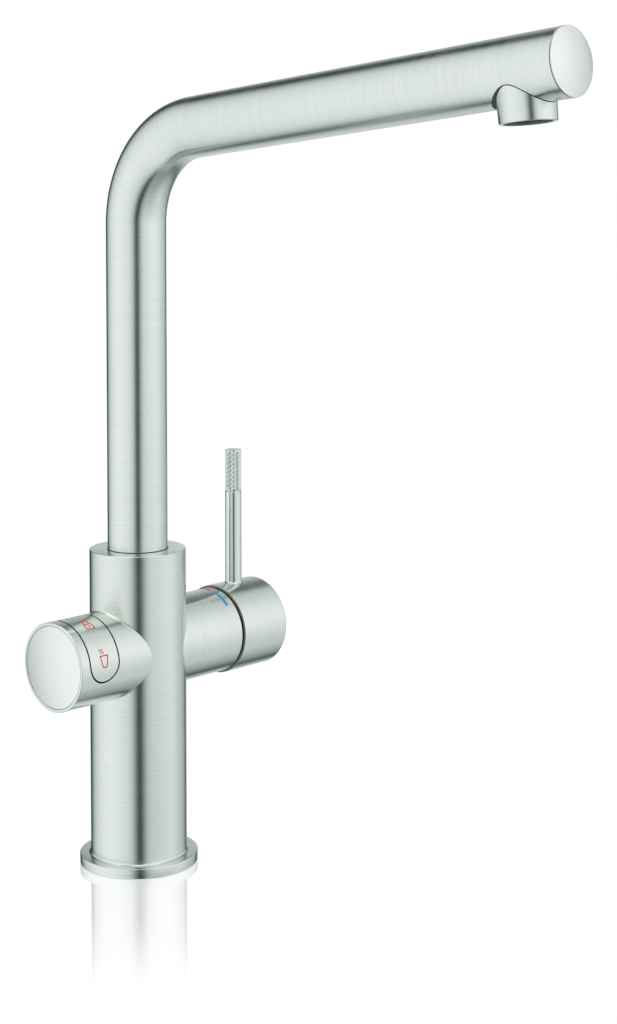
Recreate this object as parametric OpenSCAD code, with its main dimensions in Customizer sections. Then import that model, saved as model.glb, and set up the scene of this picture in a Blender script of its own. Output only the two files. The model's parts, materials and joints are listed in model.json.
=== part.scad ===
// Boiling water tap: a column body with two side arms, a swivelling L spout,
// a lever mixer on the right arm and a rocker key on the left arm.
// Frame: origin at the centre of the flange's underside, +Z up, the spout
// points to -Y, the lever mixer to +X, the boiling water control to -X.
// All sizes are millimetres.

/* [Body] */
// Diameter of the column body
body_d = 45; // [44:0.5:50]
// Height of the column body's top above the deck
body_top = 147.8; // [144:0.2:156]
// Wall of the column body
body_wall = 4; // [3.6:0.1:4.4]
// Diameter of the base flange
flange_d = 55.2; // [54:0.2:62]
// Height of the base flange
flange_h = 4.6; // [4:0.1:7]
// Fillet where the column meets the flange
flange_fillet = 1.1; // [0.6:0.1:1.6]

/* [Arms] */
// Height of the arms' axis above the deck
arm_z = 100.7; // [96:0.1:101]
// Diameter of both arms
arm_d = 40.5; // [40:0.1:41.5]
// Reach of the left arm from the column's axis
left_reach = 51.4; // [51:0.1:56]
// Reach of the right arm from the column's axis
right_reach = 49.2; // [49:0.1:50]

/* [Spout] */
// Diameter of the spout tube
tube_d = 28; // [27.4:0.1:28.6]
// Wall of the spout tube
tube_wall = 1.5; // [1.2:0.1:1.8]
// Height of the bend's start above the deck
bend_z = 299.4; // [270:0.2:330]
// Rise of the spout above level, in degrees
spout_rise = 6; // [0:0.5:12]
// Length of the straight spout past the bend
spout_len = 206.9; // [180:0.1:220]
// Centreline radius of the bend
bend_r = 44.5; // [36:0.5:50]
// Distance of the outlet's axis from the spout's end
outlet_inset = 22.6; // [21.4:0.2:40]
// Diameter of the outlet collar
outlet_d = 22.8; // [22.4:0.1:24]
// Drop of the outlet's rim below the spout's axis
outlet_drop = 20.7; // [20:0.1:26]

/* [Mixer lever] */
// Diameter of the mixing cartridge
cart_d = 34.8; // [34:0.1:35]
// Length of the mixing cartridge
cart_len = 30; // [29.5:0.1:30.5]
// Diameter of the lever's hub
hub_d = 42.6; // [42:0.1:46]
// Length of the lever's hub
hub_len = 28.8; // [28:0.1:34]
// Gap between the right arm and the lever's hub
hub_gap = 1; // [0.8:0.1:1.2]
// Diameter of the lever's rod
rod_d = 8; // [7:0.1:9]
// Height of the rod's tip above the arms' axis
rod_height = 86.8; // [70:0.2:110]
// Length of the knurled grip
grip_len = 20.4; // [14:0.2:30]
// Number of knurl grooves of each hand round the grip
knurl_count = 18; // [14:1:24]
// Tilt of the lever from shut to full flow, in degrees
flow_deg = 25; // [20:1:25]

/* [Boiling water control] */
// Width of the rocker key, to the middle of its groove
key_w = 16.9; // [15:0.1:17.2]
// Width of the groove round the key
groove_w = 0.56; // [0.5:0.02:0.7]
// Angle of the key's centre, from straight up towards the front
key_turn = 43; // [30:1:50]
// Angle from the key's centre to the centre of each round end
key_span = 39; // [32:1:42]
// Thickness of the key
key_t = 1.65; // [1.5:0.05:1.7]
// Diameter of the end cap in the left arm
cap_d = 37.4; // [36.8:0.1:37.6]

/* [Inlets] */
// Radius of the circle that the hose ports and the fixing hole lie on
port_circle_r = 11; // [10.6:0.1:11.2]
// Diameter of each hose port, inside its M10 x 1 thread
port_d = 9; // [8.4:0.1:9.2]
// Depth of each hose port
port_depth = 12; // [10:0.5:13]
// Diameter of the fixing hole, inside its M8 thread
stud_d = 6.8; // [6:0.1:7]
// Depth of the fixing hole
stud_depth = 12; // [11:0.5:14.5]
// Height of the inlet block
block_h = 16; // [15:0.5:18]

/* [Hidden] */
$fn = 96;

// Overrun of every cut past the face that it opens
over = 1;
// Gap between a fixed piece and its seat
fit = 0.02;
// Gap all round a piece that slides or turns in its bore
run = 0.08;
// Gap round a pivot pin
pin_run = 0.05;
// Gap round a loosely housed piece
slack = 0.1;
// Air between pieces that must never touch
air = 0.3;
// Small bevel of machined edges
bevel = 0.4;
// Step where a flat face meets a round one, too small to see
seam_step = 0.01;
// Step and lap of the straight spout in the bend's end
bend_step = 0.05;
bend_lap = 0.3;

// Radii of the main bars
body_r = body_d / 2;
flange_r = flange_d / 2;
arm_r = arm_d / 2;
tube_r = tube_d / 2;
tube_in_r = tube_r - tube_wall;
cart_r = cart_d / 2;
hub_r = hub_d / 2;
rod_r = rod_d / 2;
outlet_r = outlet_d / 2;
cap_r = cap_d / 2;

// Column: bore from below, bore of the arms, web above the bore
body_bore_r = body_r - body_wall;
manifold_r = body_bore_r - slack;
arm_bore_r = cart_r + 2 * slack;
neck_wall = 2.7;
bore_top = arm_z + arm_bore_r + neck_wall;
web_t = 2.5;
stem_floor = bore_top + web_t;
recess_depth = 4.5;
recess_floor = body_top - recess_depth;
recess_gap = 0.25;
arm_bevel = 0.5;

// Deck seal in its groove under the flange
seal_groove_w = 3.4;
seal_groove_h = 1.5;
seal_groove_inset = 3.1;
seal_groove_r = flange_r - seal_groove_inset;
seal_rise = 0.1;

// Inlets: quarter turns from the right front, cold, boiling and hot, fixing
port_r = port_d / 2;
stud_r = stud_d / 2;
port_turn = 45;
cold_turn = port_turn;
boil_turn = port_turn + 90;
hot_turn = port_turn + 180;
stud_turn = port_turn + 270;
port_xy = port_circle_r * sin(port_turn);
channel_r = 2.75;
cross_r = 2.6;
boil_channel_r = 2;
boil_cross_r = 1.9;
drill_past = 3.3;
lead_groove_w = 6;
lead_groove_depth = 3;
block_screw_r = 1.9;
block_screw_head_r = 3.4;
block_screw_circle_r = 14;
block_screw_reach = 10;
block_screw_sunk = 0.2;
block_screw_turns = [0, 90, 270];
hex_socket_r = 1.2;
hex_socket_depth = 1.6;

// Manifold: seats for the cartridge and the control, drilled ways
cart_inset = 7.2;
seat_x = right_reach - cart_inset - cart_len;
control_seat_x = 14;
inlet_drop = 6.7;
mixed_rise = 7;
mixed_x = 7;
mixed_r = 2.5;
mixed_up_r = 2.35;
mixed_past = 2.9;
boil_cross_drop = 15.7;
boil_cross_z = arm_z - boil_cross_drop;
boil_tube_r = 3;
boil_tube_bore_r = 2;
boil_tube_rise = 5.8;
boil_tube_end = arm_z + boil_tube_rise;
boil_seat_r = boil_tube_r + pin_run;
boil_web_r = boil_tube_r + air;
tube_seal_section = 0.58;
tube_seal_rise = 16.3;
tube_seal_z = arm_z + tube_seal_rise;
tube_seal_r = boil_tube_r + fit + tube_seal_section;

// Spout stem and its seals
stem_r = 12;
stem_bore_r = stem_r + run;
stem_hollow_r = 8.5;
stem_foot = stem_floor + 2 * air;
stem_plug = 16;
glide_t = 0.7;
tube_foot = recess_floor + glide_t;
stem_seal_section = 0.97;
stem_seal_seat = 10.12;
stem_seal_r = stem_seal_seat + stem_seal_section;
stem_seal_groove_h = 2.3;
stem_seal_shares = [0.22, 0.5];
lock_drop = 3.8;
lock_z = recess_floor - lock_drop;
lock_screw_r = 2;
lock_screw_len = 10.8;
lock_groove_r = 10.6;
lock_groove_h = 4.3;
lock_tip = lock_groove_r + air;
swivel_deg = 75;
lock_margin_deg = 11.5;
lock_groove_half = swivel_deg + lock_margin_deg;

// Spout: bend and straight stretches
bend_turn = 90 - spout_rise;
spout_r = tube_r - bend_step;
spout_in_r = tube_in_r - bend_step;
outlet_at = spout_len - outlet_inset;
end_cap_t = 1.8;
end_cap_step = 0.1;
end_cap_plug = 8.2;
end_cap_wall = 2.45;
end_cap_hollow_r = spout_in_r - end_cap_wall;
tube_end = spout_len - end_cap_t;
boil_elbow_r = 9;

// Outlet: collar, aerator and its insert
collar_wall = 1.9;
aerator_r = outlet_r - collar_wall;
aerator_bore_r = aerator_r + pin_run;
aerator_top = 9.2;
aerator_inset = 1.1;
aerator_foot = outlet_drop - aerator_inset;
aerator_plate = 4;
aerator_wall = 1.7;
aerator_way_r = 1.1;
aerator_way_circle_r = 5.8;
aerator_ways = 8;
boil_tube_entry = 2;
boil_tube_foot = aerator_top + boil_tube_entry;
screen_r = aerator_r - aerator_wall - fit;
screen_t = 1.2;
screen_inset = 1;
screen_foot = aerator_foot - screen_inset;
screen_hole_r = 0.55;
screen_pitch = 1.9;
screen_rings = 3;
collar_gap = 0.12;

// Cartridge, from its seat outwards along X
cart_end = seat_x + cart_len;
cart_base_t = 4;
cart_bore_r = 14.3;
cart_ring_r = cart_bore_r - run;
disc_t = 3.2;
fixed_disc_r = cart_bore_r - slack;
fixed_disc_x = seat_x + cart_base_t;
moving_disc_x = fixed_disc_x + disc_t + pin_run;
moving_disc_r = 10.2;
moving_disc_t = 3;
mix_chamber_r = 7.4;
mix_chamber_depth = 1.6;
carrier_x = moving_disc_x + moving_disc_t;
carrier_r = 9.8;
carrier_t = 4.75;
carrier_end = carrier_x + carrier_t;
rotor_x = carrier_end + air;
port_seal_section = 0.8;
port_seal_offset = 1;
port_seal_r = channel_r + port_seal_offset;
nut_len = 5.5;
nut_bore_r = 15.2;
nut_fit = 0.1;
nut_keyway_w = 2.5;

// Lever's pivot, ball end and the dome that hides the cartridge
pivot_inset = 7;
pivot_x = cart_end - pivot_inset;
pivot_pin_r = 1.5;
pivot_pin_half = 11;
ball_r = 2.5;
ball_arm = 9;
ball_neck_r = 1.5;
spindle_w = 7.8;
spindle_tail = 3.6;
spindle_reach = 35;
spindle_end = pivot_x + spindle_reach;
rotor_slot_half = 9;
edge_to_pivot = norm([right_reach - pivot_x, arm_r]);
cavity_air = 0.4;
hub_cavity_r = edge_to_pivot + cavity_air;
dome_air = 0.9;
dome_r = hub_cavity_r - dome_air;
dome_t = 0.8;
dome_x = right_reach + air;
dome_skirt_air = 0.4;
dome_skirt_r = nut_bore_r - dome_skirt_air;
dome_skirt_wall = 1;
dome_slot_w = spindle_w + 2 * air;
dome_slot_margin_deg = 11;
dome_slot_low_deg = flow_deg + dome_slot_margin_deg;
dome_slot_high_deg = 12;
dome_flange_t = 1;

// Hub of the lever
hub_x = right_reach + hub_gap;
hub_end = hub_x + hub_len;
hub_round = 1.3;
hub_boss_r = 9.5;
hub_wall = 4;
rod_boss_wall = 2.5;
rod_boss_r = rod_r + rod_boss_wall;
screw_boss_r = 4.5;
rod_inset = 12.85;
rod_x = hub_x + rod_inset;
rod_foot = 11.5;
hub_screw_offset = 2;
hub_screw_x = rod_x + hub_screw_offset;
hub_screw_r = 2.5;
hub_screw_sunk = 1;

// Knurled grip on the rod's tenon
tenon_r = 2.6;
tip_t = 1;
knurl_depth = 0.34;
knurl_rows = 9;

// Rocker key, window and what lies under it, at radii from the arms' axis
key_inset = 13.4;
key_x = -(left_reach - key_inset);
key_r = arm_r;
key_half = (key_w - groove_w) / 2;
window_half = (key_w + groove_w) / 2;
seal_half = window_half - slack;
housing_r = arm_bore_r - slack;
key_seal_t = 0.45;
key_in_r = key_r - key_t;
key_seal_in_r = housing_r + fit;
rock_depth = 1.5;
rock_r = housing_r - rock_depth;
rock_pin_r = 1;
rock_pin_half = 6;
lug_half_x = 3;
lug_half_y = 2.2;
lug_drop = 1.7;
lug_foot = rock_r - lug_drop;
lug_air = 0.6;
switch_angles = [-33, 33];
switch_x = 4.6;
switch_half = 2;
switch_depth = 3.25;
switch_foot = housing_r - switch_depth;
switch_h = 2.1;
plunger_r = 0.9;
guide_angles = [-34, 21];
guide_x = -1.6;
guide_r = 1.1;
housing_hollow_r = 11;

// Left arm's end: cap, ledge, control housing, board
cap_t = 2.5;
cap_gap = 0.16;
cap_plug = 1.9;
cap_plug_r = arm_bore_r - 2 * slack;
cap_seal_section = 0.5;
cap_seal_r = arm_bore_r - fit - cap_seal_section;
housing_x = -(left_reach - cap_t - cap_plug - slack);
housing_len = 20.5;
board_t = 1.6;
board_x = housing_x + housing_len;
ledge_x = board_x + board_t;
ledge_w = 2.1;
ledge_r = arm_bore_r - ledge_w;
board_r = arm_bore_r - air;
board_hole_r = 2.5;

// Colours
steel = [0.80, 0.83, 0.81];
brass = [0.80, 0.66, 0.38];
rubber = [0.12, 0.13, 0.13];
dark_plastic = [0.20, 0.22, 0.21];
white_plastic = [0.88, 0.88, 0.86];
ceramic = [0.93, 0.91, 0.88];
board_green = [0.10, 0.38, 0.22];
clear_red = [0.85, 0.35, 0.30];

// Upright round bar on the column's axis
module bar_z(z0, z1, r) {
    translate([0, 0, z0])
        cylinder(r = r, h = z1 - z0);
}

// Level round bar on the arms' axis
module bar_x(x0, x1, r) {
    translate([x0, 0, arm_z])
        rotate([0, 90, 0])
            cylinder(r = r, h = x1 - x0);
}

// Level bar on the arms' axis with bevels at both ends
module bevelled_bar_x(x0, x1, r, c0, c1) {
    len = x1 - x0;
    translate([x0, 0, arm_z])
        rotate([0, 90, 0])
            rotate_extrude()
                polygon([[0, 0], [r - c0, 0], [r, c0], [r, len - c1], [r - c1, len], [0, len]]);
}

// Washer on the column's axis
module ring_z(z0, z1, r0, r1) {
    translate([0, 0, z0])
        rotate_extrude()
            translate([r0, 0])
                square([r1 - r0, z1 - z0]);
}

// Ring of round section about Z
module o_ring(r, section) {
    rotate_extrude()
        translate([r, 0])
            circle(r = section);
}

// Frame at the end of the bend: Z along the sloping spout, Y up across it
module spout_frame() {
    translate([0, -bend_r, bend_z])
        rotate([bend_turn, 0, 0])
            translate([0, bend_r, 0])
                children();
}

// Frame of the outlet: Z down out of the spout's axis
module outlet_frame() {
    spout_frame()
        translate([0, 0, outlet_at])
            rotate([90, 0, 0])
                children();
}

// Rod that follows the spout's centreline from a foot height to a reach
module spout_sweep(foot, reach, r) {
    bar_z(foot, bend_z, r);
    translate([0, -bend_r, bend_z])
        rotate([90, 0, 90])
            rotate_extrude(angle = bend_turn)
                translate([bend_r, 0])
                    circle(r = r);
    spout_frame()
        translate([0, 0, -bend_lap])
            cylinder(r = r - bend_step, h = reach + bend_lap);
}

// Frame of the key: Z out through its centre, X along the arm
module key_frame() {
    translate([key_x, 0, arm_z])
        rotate([key_turn, 0, 0])
            children();
}

// Pill-shaped prism in the key's frame: a wedge from the arm's axis with round ends
module pill_prism(half_w, reach) {
    wedge_half = half_w - seam_step;
    side = reach / cos(key_span);
    translate([-wedge_half, 0, 0])
        rotate([90, 0, 90])
            linear_extrude(height = 2 * wedge_half)
                polygon([
                    [0, 0],
                    [side * sin(key_span), side * cos(key_span)],
                    [-side * sin(key_span), side * cos(key_span)]
                ]);
    for (end = [-1, 1])
        rotate([end * key_span, 0, 0])
            cylinder(r = half_w, h = reach);
}

// Pill outline wrapped on the arm, between two radii
module wrapped_pill(r0, r1, half_w) {
    intersection() {
        pill_prism(half_w, r1 + over);
        translate([-half_w - over, 0, 0])
            rotate([0, 90, 0])
                difference() {
                    cylinder(r = r1, h = 2 * (half_w + over));
                    translate([0, 0, -over])
                        cylinder(r = r0, h = 2 * (half_w + 2 * over));
                }
    }
}

// Grub screw along Z with its hex socket at the top
module grub_screw(r, len) {
    difference() {
        cylinder(r = r, h = len);
        translate([0, 0, len - hex_socket_depth])
            cylinder(r = hex_socket_r, h = hex_socket_depth + over, $fn = 6);
    }
}

module base_flange() {
    color(steel)
        rotate_extrude()
            difference() {
                union() {
                    translate([body_bore_r, 0])
                        polygon([
                            [0, 0],
                            [flange_r - body_bore_r, 0],
                            [flange_r - body_bore_r, flange_h - bevel],
                            [flange_r - body_bore_r - bevel, flange_h],
                            [0, flange_h]
                        ]);
                    translate([body_r + fit, flange_h])
                        square(flange_fillet);
                }
                translate([body_r + fit + flange_fillet, flange_h + flange_fillet])
                    circle(r = flange_fillet);
                translate([seal_groove_r - seal_groove_w / 2, -over])
                    square([seal_groove_w, seal_groove_h + over]);
            }
}

module deck_seal() {
    color(rubber)
        ring_z(seal_rise, seal_groove_h, seal_groove_r - seal_groove_w / 2 + slack,
            seal_groove_r + seal_groove_w / 2 - slack);
}

module tap_body() {
    color(steel)
        difference() {
            union() {
                translate([0, 0, flange_h])
                    rotate_extrude()
                        polygon([
                            [0, 0],
                            [body_r, 0],
                            [body_r, body_top - flange_h - bevel],
                            [body_r - bevel, body_top - flange_h],
                            [0, body_top - flange_h]
                        ]);
                bevelled_bar_x(-left_reach, right_reach, arm_r, arm_bevel, air);
            }
            bar_z(flange_h - over, bore_top, body_bore_r);
            bar_z(stem_floor, body_top + over, stem_bore_r);
            bar_z(recess_floor, body_top + over, tube_r + recess_gap);
            bar_z(bore_top - over, stem_floor + over, boil_web_r);
            translate([mixed_x, 0, bore_top - over])
                cylinder(r = mixed_r, h = web_t + 2 * over);
            bar_x(0, right_reach + over, arm_bore_r);
            bar_x(ledge_x, 0, ledge_r);
            bar_x(-left_reach - over, ledge_x, arm_bore_r);
            bar_x(-left_reach - over, -left_reach + cap_t, cap_r + cap_gap);
            key_frame()
                pill_prism(window_half, arm_r + over);
            translate([0, lock_groove_r, lock_z])
                rotate([-90, 0, 0])
                    cylinder(r = lock_screw_r + fit, h = body_r);
        }
}

// One place on the ports' circle
module at_port(turn) {
    rotate([0, 0, turn])
        translate([port_circle_r, 0, 0])
            children();
}

// Groove for the control's lead, up the left side
module lead_groove(z0, z1) {
    translate([-manifold_r - over, -lead_groove_w / 2, z0])
        cube([lead_groove_depth + over, lead_groove_w, z1 - z0]);
}

module inlet_block() {
    color(brass)
        difference() {
            cylinder(r = manifold_r, h = block_h);
            for (turn = [cold_turn, boil_turn, hot_turn])
                at_port(turn)
                    translate([0, 0, -over])
                        cylinder(r = port_r, h = port_depth + over);
            for (turn = [cold_turn, hot_turn])
                at_port(turn)
                    cylinder(r = channel_r, h = block_h + over);
            at_port(boil_turn)
                cylinder(r = boil_channel_r, h = block_h + over);
            at_port(stud_turn)
                translate([0, 0, -over])
                    cylinder(r = stud_r, h = stud_depth + over);
            lead_groove(-over, block_h + over);
            for (turn = block_screw_turns)
                rotate([0, 0, turn])
                    translate([block_screw_circle_r, 0, 0])
                        block_screw_hole();
        }
}

// Countersunk hole for one block screw
module block_screw_hole() {
    cylinder(r = block_screw_r + fit, h = block_h + over);
    translate([0, 0, -over])
        cylinder(r = block_screw_head_r + fit, h = over + block_screw_sunk);
    translate([0, 0, block_screw_sunk])
        cylinder(r1 = block_screw_head_r + fit, r2 = block_screw_r + fit,
            h = block_screw_head_r - block_screw_r);
}

module block_screws() {
    color(steel)
        for (turn = block_screw_turns)
            rotate([0, 0, turn])
                translate([block_screw_circle_r, 0, block_screw_sunk])
                    difference() {
                        union() {
                            cylinder(r1 = block_screw_head_r, r2 = block_screw_r,
                                h = block_screw_head_r - block_screw_r);
                            cylinder(r = block_screw_r, h = block_h + block_screw_reach);
                        }
                        translate([0, 0, -over])
                            cylinder(r = hex_socket_r, h = over + hex_socket_depth, $fn = 6);
                    }
}

module water_manifold() {
    color(brass)
        difference() {
            bar_z(block_h, bore_top, manifold_r);
            bar_x(seat_x, body_r, arm_bore_r);
            bar_x(-body_r, -control_seat_x, arm_bore_r);
            lead_groove(block_h - over, arm_z - arm_bore_r + lead_groove_depth);
            // Cold and hot ways: up from the block, then across to the seat
            for (side = [-1, 1]) {
                translate([side * port_xy, side * port_xy, block_h - over])
                    cylinder(r = channel_r, h = arm_z - inlet_drop - block_h + drill_past + over);
                translate([side * port_xy - drill_past, side * port_xy, arm_z - inlet_drop])
                    rotate([0, 90, 0])
                        cylinder(r = cross_r, h = seat_x - side * port_xy + drill_past + over);
            }
            // Boiling way: up, in to the column's axis, then up to the tube
            translate([-port_xy, port_xy, block_h - over])
                cylinder(r = boil_channel_r, h = boil_cross_z - block_h + drill_past + over);
            translate([0, 0, boil_cross_z])
                rotate([0, -90, -port_turn])
                    translate([0, 0, -drill_past])
                        cylinder(r = boil_cross_r, h = port_circle_r + 2 * drill_past);
            bar_z(boil_cross_z - drill_past, bore_top + over, boil_channel_r);
            bar_z(boil_tube_end - slack, bore_top + over, boil_seat_r);
            bar_z(tube_seal_z - tube_seal_section, tube_seal_z + tube_seal_section,
                tube_seal_r + tube_seal_section);
            // Mixed way: in from the seat, then up to the stem
            translate([mixed_x - mixed_past, 0, arm_z + mixed_rise])
                rotate([0, 90, 0])
                    cylinder(r = mixed_r, h = seat_x - mixed_x + mixed_past + over);
            translate([mixed_x, 0, arm_z + mixed_rise - mixed_past])
                cylinder(r = mixed_up_r, h = bore_top - arm_z - mixed_rise + mixed_past + over);
            for (turn = block_screw_turns)
                rotate([0, 0, turn])
                    translate([block_screw_circle_r, 0, block_h - over])
                        cylinder(r = block_screw_r + fit,
                            h = block_screw_reach + block_screw_sunk + slack + over);
        }
}

module tube_seal() {
    color(rubber)
        translate([0, 0, tube_seal_z])
            o_ring(tube_seal_r, tube_seal_section - fit);
}

module spout_glide_ring() {
    color(white_plastic)
        ring_z(recess_floor, tube_foot - pin_run, stem_bore_r + fit, tube_r);
}

module spout_lock_screw() {
    color(steel)
        translate([0, lock_tip, lock_z])
            rotate([-90, 0, 0])
                grub_screw(lock_screw_r, lock_screw_len);
}

// The cartridge's three ways, through any piece of it
module cartridge_ways(x0, x1) {
    for (side = [-1, 1])
        translate([x0, side * port_xy, arm_z - inlet_drop])
            rotate([0, 90, 0])
                cylinder(r = channel_r, h = x1 - x0);
    translate([x0, 0, arm_z + mixed_rise])
        rotate([0, 90, 0])
            cylinder(r = mixed_r, h = x1 - x0);
}

// The three places of the cartridge's port seals
module at_cartridge_ports() {
    for (p = [[-port_xy, -inlet_drop], [port_xy, -inlet_drop], [0, mixed_rise]])
        translate([seat_x, p[0], arm_z + p[1]])
            rotate([0, 90, 0])
                children();
}

module cartridge_body() {
    color(white_plastic)
        difference() {
            bevelled_bar_x(seat_x, cart_end, cart_r, bevel, bevel);
            bar_x(fixed_disc_x, cart_end + over, cart_bore_r);
            cartridge_ways(seat_x - over, fixed_disc_x + over);
            at_cartridge_ports()
                translate([0, 0, -over])
                    cylinder(r = port_seal_r + port_seal_section + fit,
                        h = over + 2 * port_seal_section);
        }
}

module port_seals() {
    color(rubber)
        at_cartridge_ports()
            translate([0, 0, port_seal_section])
                o_ring(port_seal_r, port_seal_section - fit);
}

module fixed_disc() {
    color(ceramic)
        difference() {
            bar_x(fixed_disc_x, fixed_disc_x + disc_t, fixed_disc_r);
            cartridge_ways(fixed_disc_x - over, fixed_disc_x + disc_t + over);
        }
}

module cartridge_nut() {
    color(brass)
        difference() {
            bevelled_bar_x(cart_end, cart_end + nut_len, arm_bore_r - nut_fit, bevel, bevel);
            bar_x(cart_end - over, cart_end + nut_len + over, nut_bore_r);
            // Four keyways for the tool that tightens it
            for (turn = [0 : 90 : 270])
                translate([cart_end + nut_len / 2, 0, arm_z])
                    rotate([turn + port_turn, 0, 0])
                        translate([0, -nut_keyway_w / 2, 0])
                            cube([nut_len, nut_keyway_w, arm_r]);
        }
}

module cartridge_rotor() {
    color(white_plastic)
        difference() {
            bar_x(rotor_x, cart_end, cart_ring_r);
            translate([rotor_x - over, -spindle_w / 2 - air / 2, arm_z - rotor_slot_half])
                cube([cart_end - rotor_x + 2 * over, spindle_w + air, 2 * rotor_slot_half]);
            translate([pivot_x, -pivot_pin_half - slack, arm_z])
                rotate([-90, 0, 0])
                    cylinder(r = pivot_pin_r + fit, h = 2 * (pivot_pin_half + slack));
        }
}

module spindle_pin() {
    color(steel)
        translate([pivot_x, -pivot_pin_half, arm_z])
            rotate([-90, 0, 0])
                cylinder(r = pivot_pin_r, h = 2 * pivot_pin_half);
}

// Dark dome that stays with the rotor and closes the gap behind the hub
module dome_sleeve() {
    base = dome_x - pivot_x;
    color(dark_plastic)
        difference() {
            translate([pivot_x, 0, arm_z])
                rotate([0, 90, 0])
                    rotate_extrude() {
                        intersection() {
                            difference() {
                                circle(r = dome_r);
                                circle(r = dome_r - dome_t);
                            }
                            translate([0, base])
                                square(dome_r);
                        }
                        intersection() {
                            circle(r = dome_r - dome_t / 2);
                            translate([dome_skirt_r - dome_skirt_wall, base])
                                square([dome_r, dome_flange_t]);
                        }
                        translate([dome_skirt_r - dome_skirt_wall, cart_end - pivot_x])
                            square([dome_skirt_wall, dome_x - cart_end + dome_flange_t]);
                    }
            translate([pivot_x + base + dome_flange_t, -dome_slot_w / 2,
                    arm_z - dome_r * sin(dome_slot_low_deg)])
                cube([dome_r, dome_slot_w,
                    dome_r * (sin(dome_slot_low_deg) + sin(dome_slot_high_deg))]);
        }
}

module moving_disc() {
    color(ceramic)
        difference() {
            bar_x(moving_disc_x, moving_disc_x + moving_disc_t, moving_disc_r);
            bar_x(moving_disc_x - over, moving_disc_x + mix_chamber_depth, mix_chamber_r);
        }
}

module disc_carrier() {
    color(dark_plastic)
        difference() {
            bar_x(carrier_x, carrier_end, carrier_r);
            bar_x(carrier_x + bevel, carrier_end + over, ball_r + slack);
        }
}

module spindle() {
    color(brass)
        difference() {
            union() {
                translate([pivot_x - spindle_tail, -spindle_w / 2, arm_z - spindle_w / 2])
                    cube([spindle_end - pivot_x + spindle_tail, spindle_w, spindle_w]);
                bar_x(pivot_x - ball_arm, pivot_x - spindle_tail + over, ball_neck_r);
                translate([pivot_x - ball_arm, 0, arm_z])
                    sphere(r = ball_r);
            }
            translate([pivot_x, -spindle_w, arm_z])
                rotate([-90, 0, 0])
                    cylinder(r = pivot_pin_r + pin_run, h = 2 * spindle_w);
        }
}

// Outline of the hub, with its rounded outer edge
module hub_profile() {
    square([hub_r - hub_round, hub_len]);
    square([hub_r, hub_len - hub_round]);
    translate([hub_r - hub_round, hub_len - hub_round])
        circle(r = hub_round);
}

module lever_hub() {
    color(steel)
        difference() {
            translate([hub_x, 0, arm_z])
                rotate([0, 90, 0])
                    rotate_extrude()
                        intersection() {
                            hub_profile();
                            square([hub_r, hub_len]);
                        }
            // The hollow slides over the dome and the arm's edge
            translate([pivot_x, 0, arm_z])
                sphere(r = hub_cavity_r);
            // Casting pocket round the boss that holds the spindle
            difference() {
                bar_x(hub_x + hub_wall, hub_end - hub_wall, hub_r - hub_wall);
                bar_x(hub_x, hub_end, hub_boss_r);
                translate([rod_x, 0, arm_z])
                    cylinder(r = rod_boss_r, h = hub_r);
                translate([hub_screw_x, 0, arm_z - hub_r])
                    cylinder(r = screw_boss_r, h = hub_r);
            }
            translate([hub_x, -spindle_w / 2 - fit, arm_z - spindle_w / 2 - fit])
                cube([spindle_end - hub_x + slack, spindle_w + 2 * fit, spindle_w + 2 * fit]);
            translate([rod_x, 0, arm_z + rod_foot - slack])
                cylinder(r = rod_r + fit, h = hub_r);
            translate([hub_screw_x, 0, arm_z - hub_r - over])
                cylinder(r = hub_screw_r + fit, h = hub_r + over);
        }
}

module hub_screw() {
    color(steel)
        translate([hub_screw_x, 0, arm_z - spindle_w / 2])
            rotate([180, 0, 0])
                grub_screw(hub_screw_r, hub_r - spindle_w / 2 - hub_screw_sunk);
}

module lever_rod() {
    grip_foot = rod_height - grip_len;
    color(steel)
        translate([rod_x, 0, arm_z]) {
            translate([0, 0, rod_foot])
                cylinder(r = rod_r, h = grip_foot - rod_foot);
            translate([0, 0, grip_foot])
                cylinder(r = tenon_r, h = grip_len - tip_t - slack);
        }
}

// Knurled sleeve. Grooves of both hands cross at every second point of a lattice,
// and a pyramid's tip stands at each of the others, so every groove is an edge.
module knurled_sleeve(r, len) {
    steps = 2 * knurl_count;
    rings = 2 * knurl_rows;
    points = [
        for (k = [0 : rings])
            for (i = [0 : steps - 1])
                let (
                    at_end = k == 0 || k == rings,
                    depth = at_end || (i + k) % 2 == 0 ? knurl_depth : 0,
                    angle = 360 * i / steps
                )
                [(r - depth) * cos(angle), (r - depth) * sin(angle), len * k / rings]
    ];
    sides = [
        for (k = [0 : rings - 1])
            for (i = [0 : steps - 1])
                let (
                    j = (i + 1) % steps,
                    a = k * steps + i,
                    b = k * steps + j
                )
                each (i + k) % 2 == 0
                    ? [[a, a + steps, b + steps], [a, b + steps, b]]
                    : [[a, a + steps, b], [b, a + steps, b + steps]]
    ];
    foot = [[for (i = [0 : steps - 1]) i]];
    head = [[for (i = [steps - 1 : -1 : 0]) rings * steps + i]];
    polyhedron(points = points, faces = concat(sides, foot, head));
}

module lever_grip() {
    color(steel)
        translate([rod_x, 0, arm_z + rod_height - grip_len])
            difference() {
                knurled_sleeve(rod_r, grip_len);
                translate([0, 0, -over])
                    cylinder(r = tenon_r + fit, h = grip_len - tip_t + over);
            }
}

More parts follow.
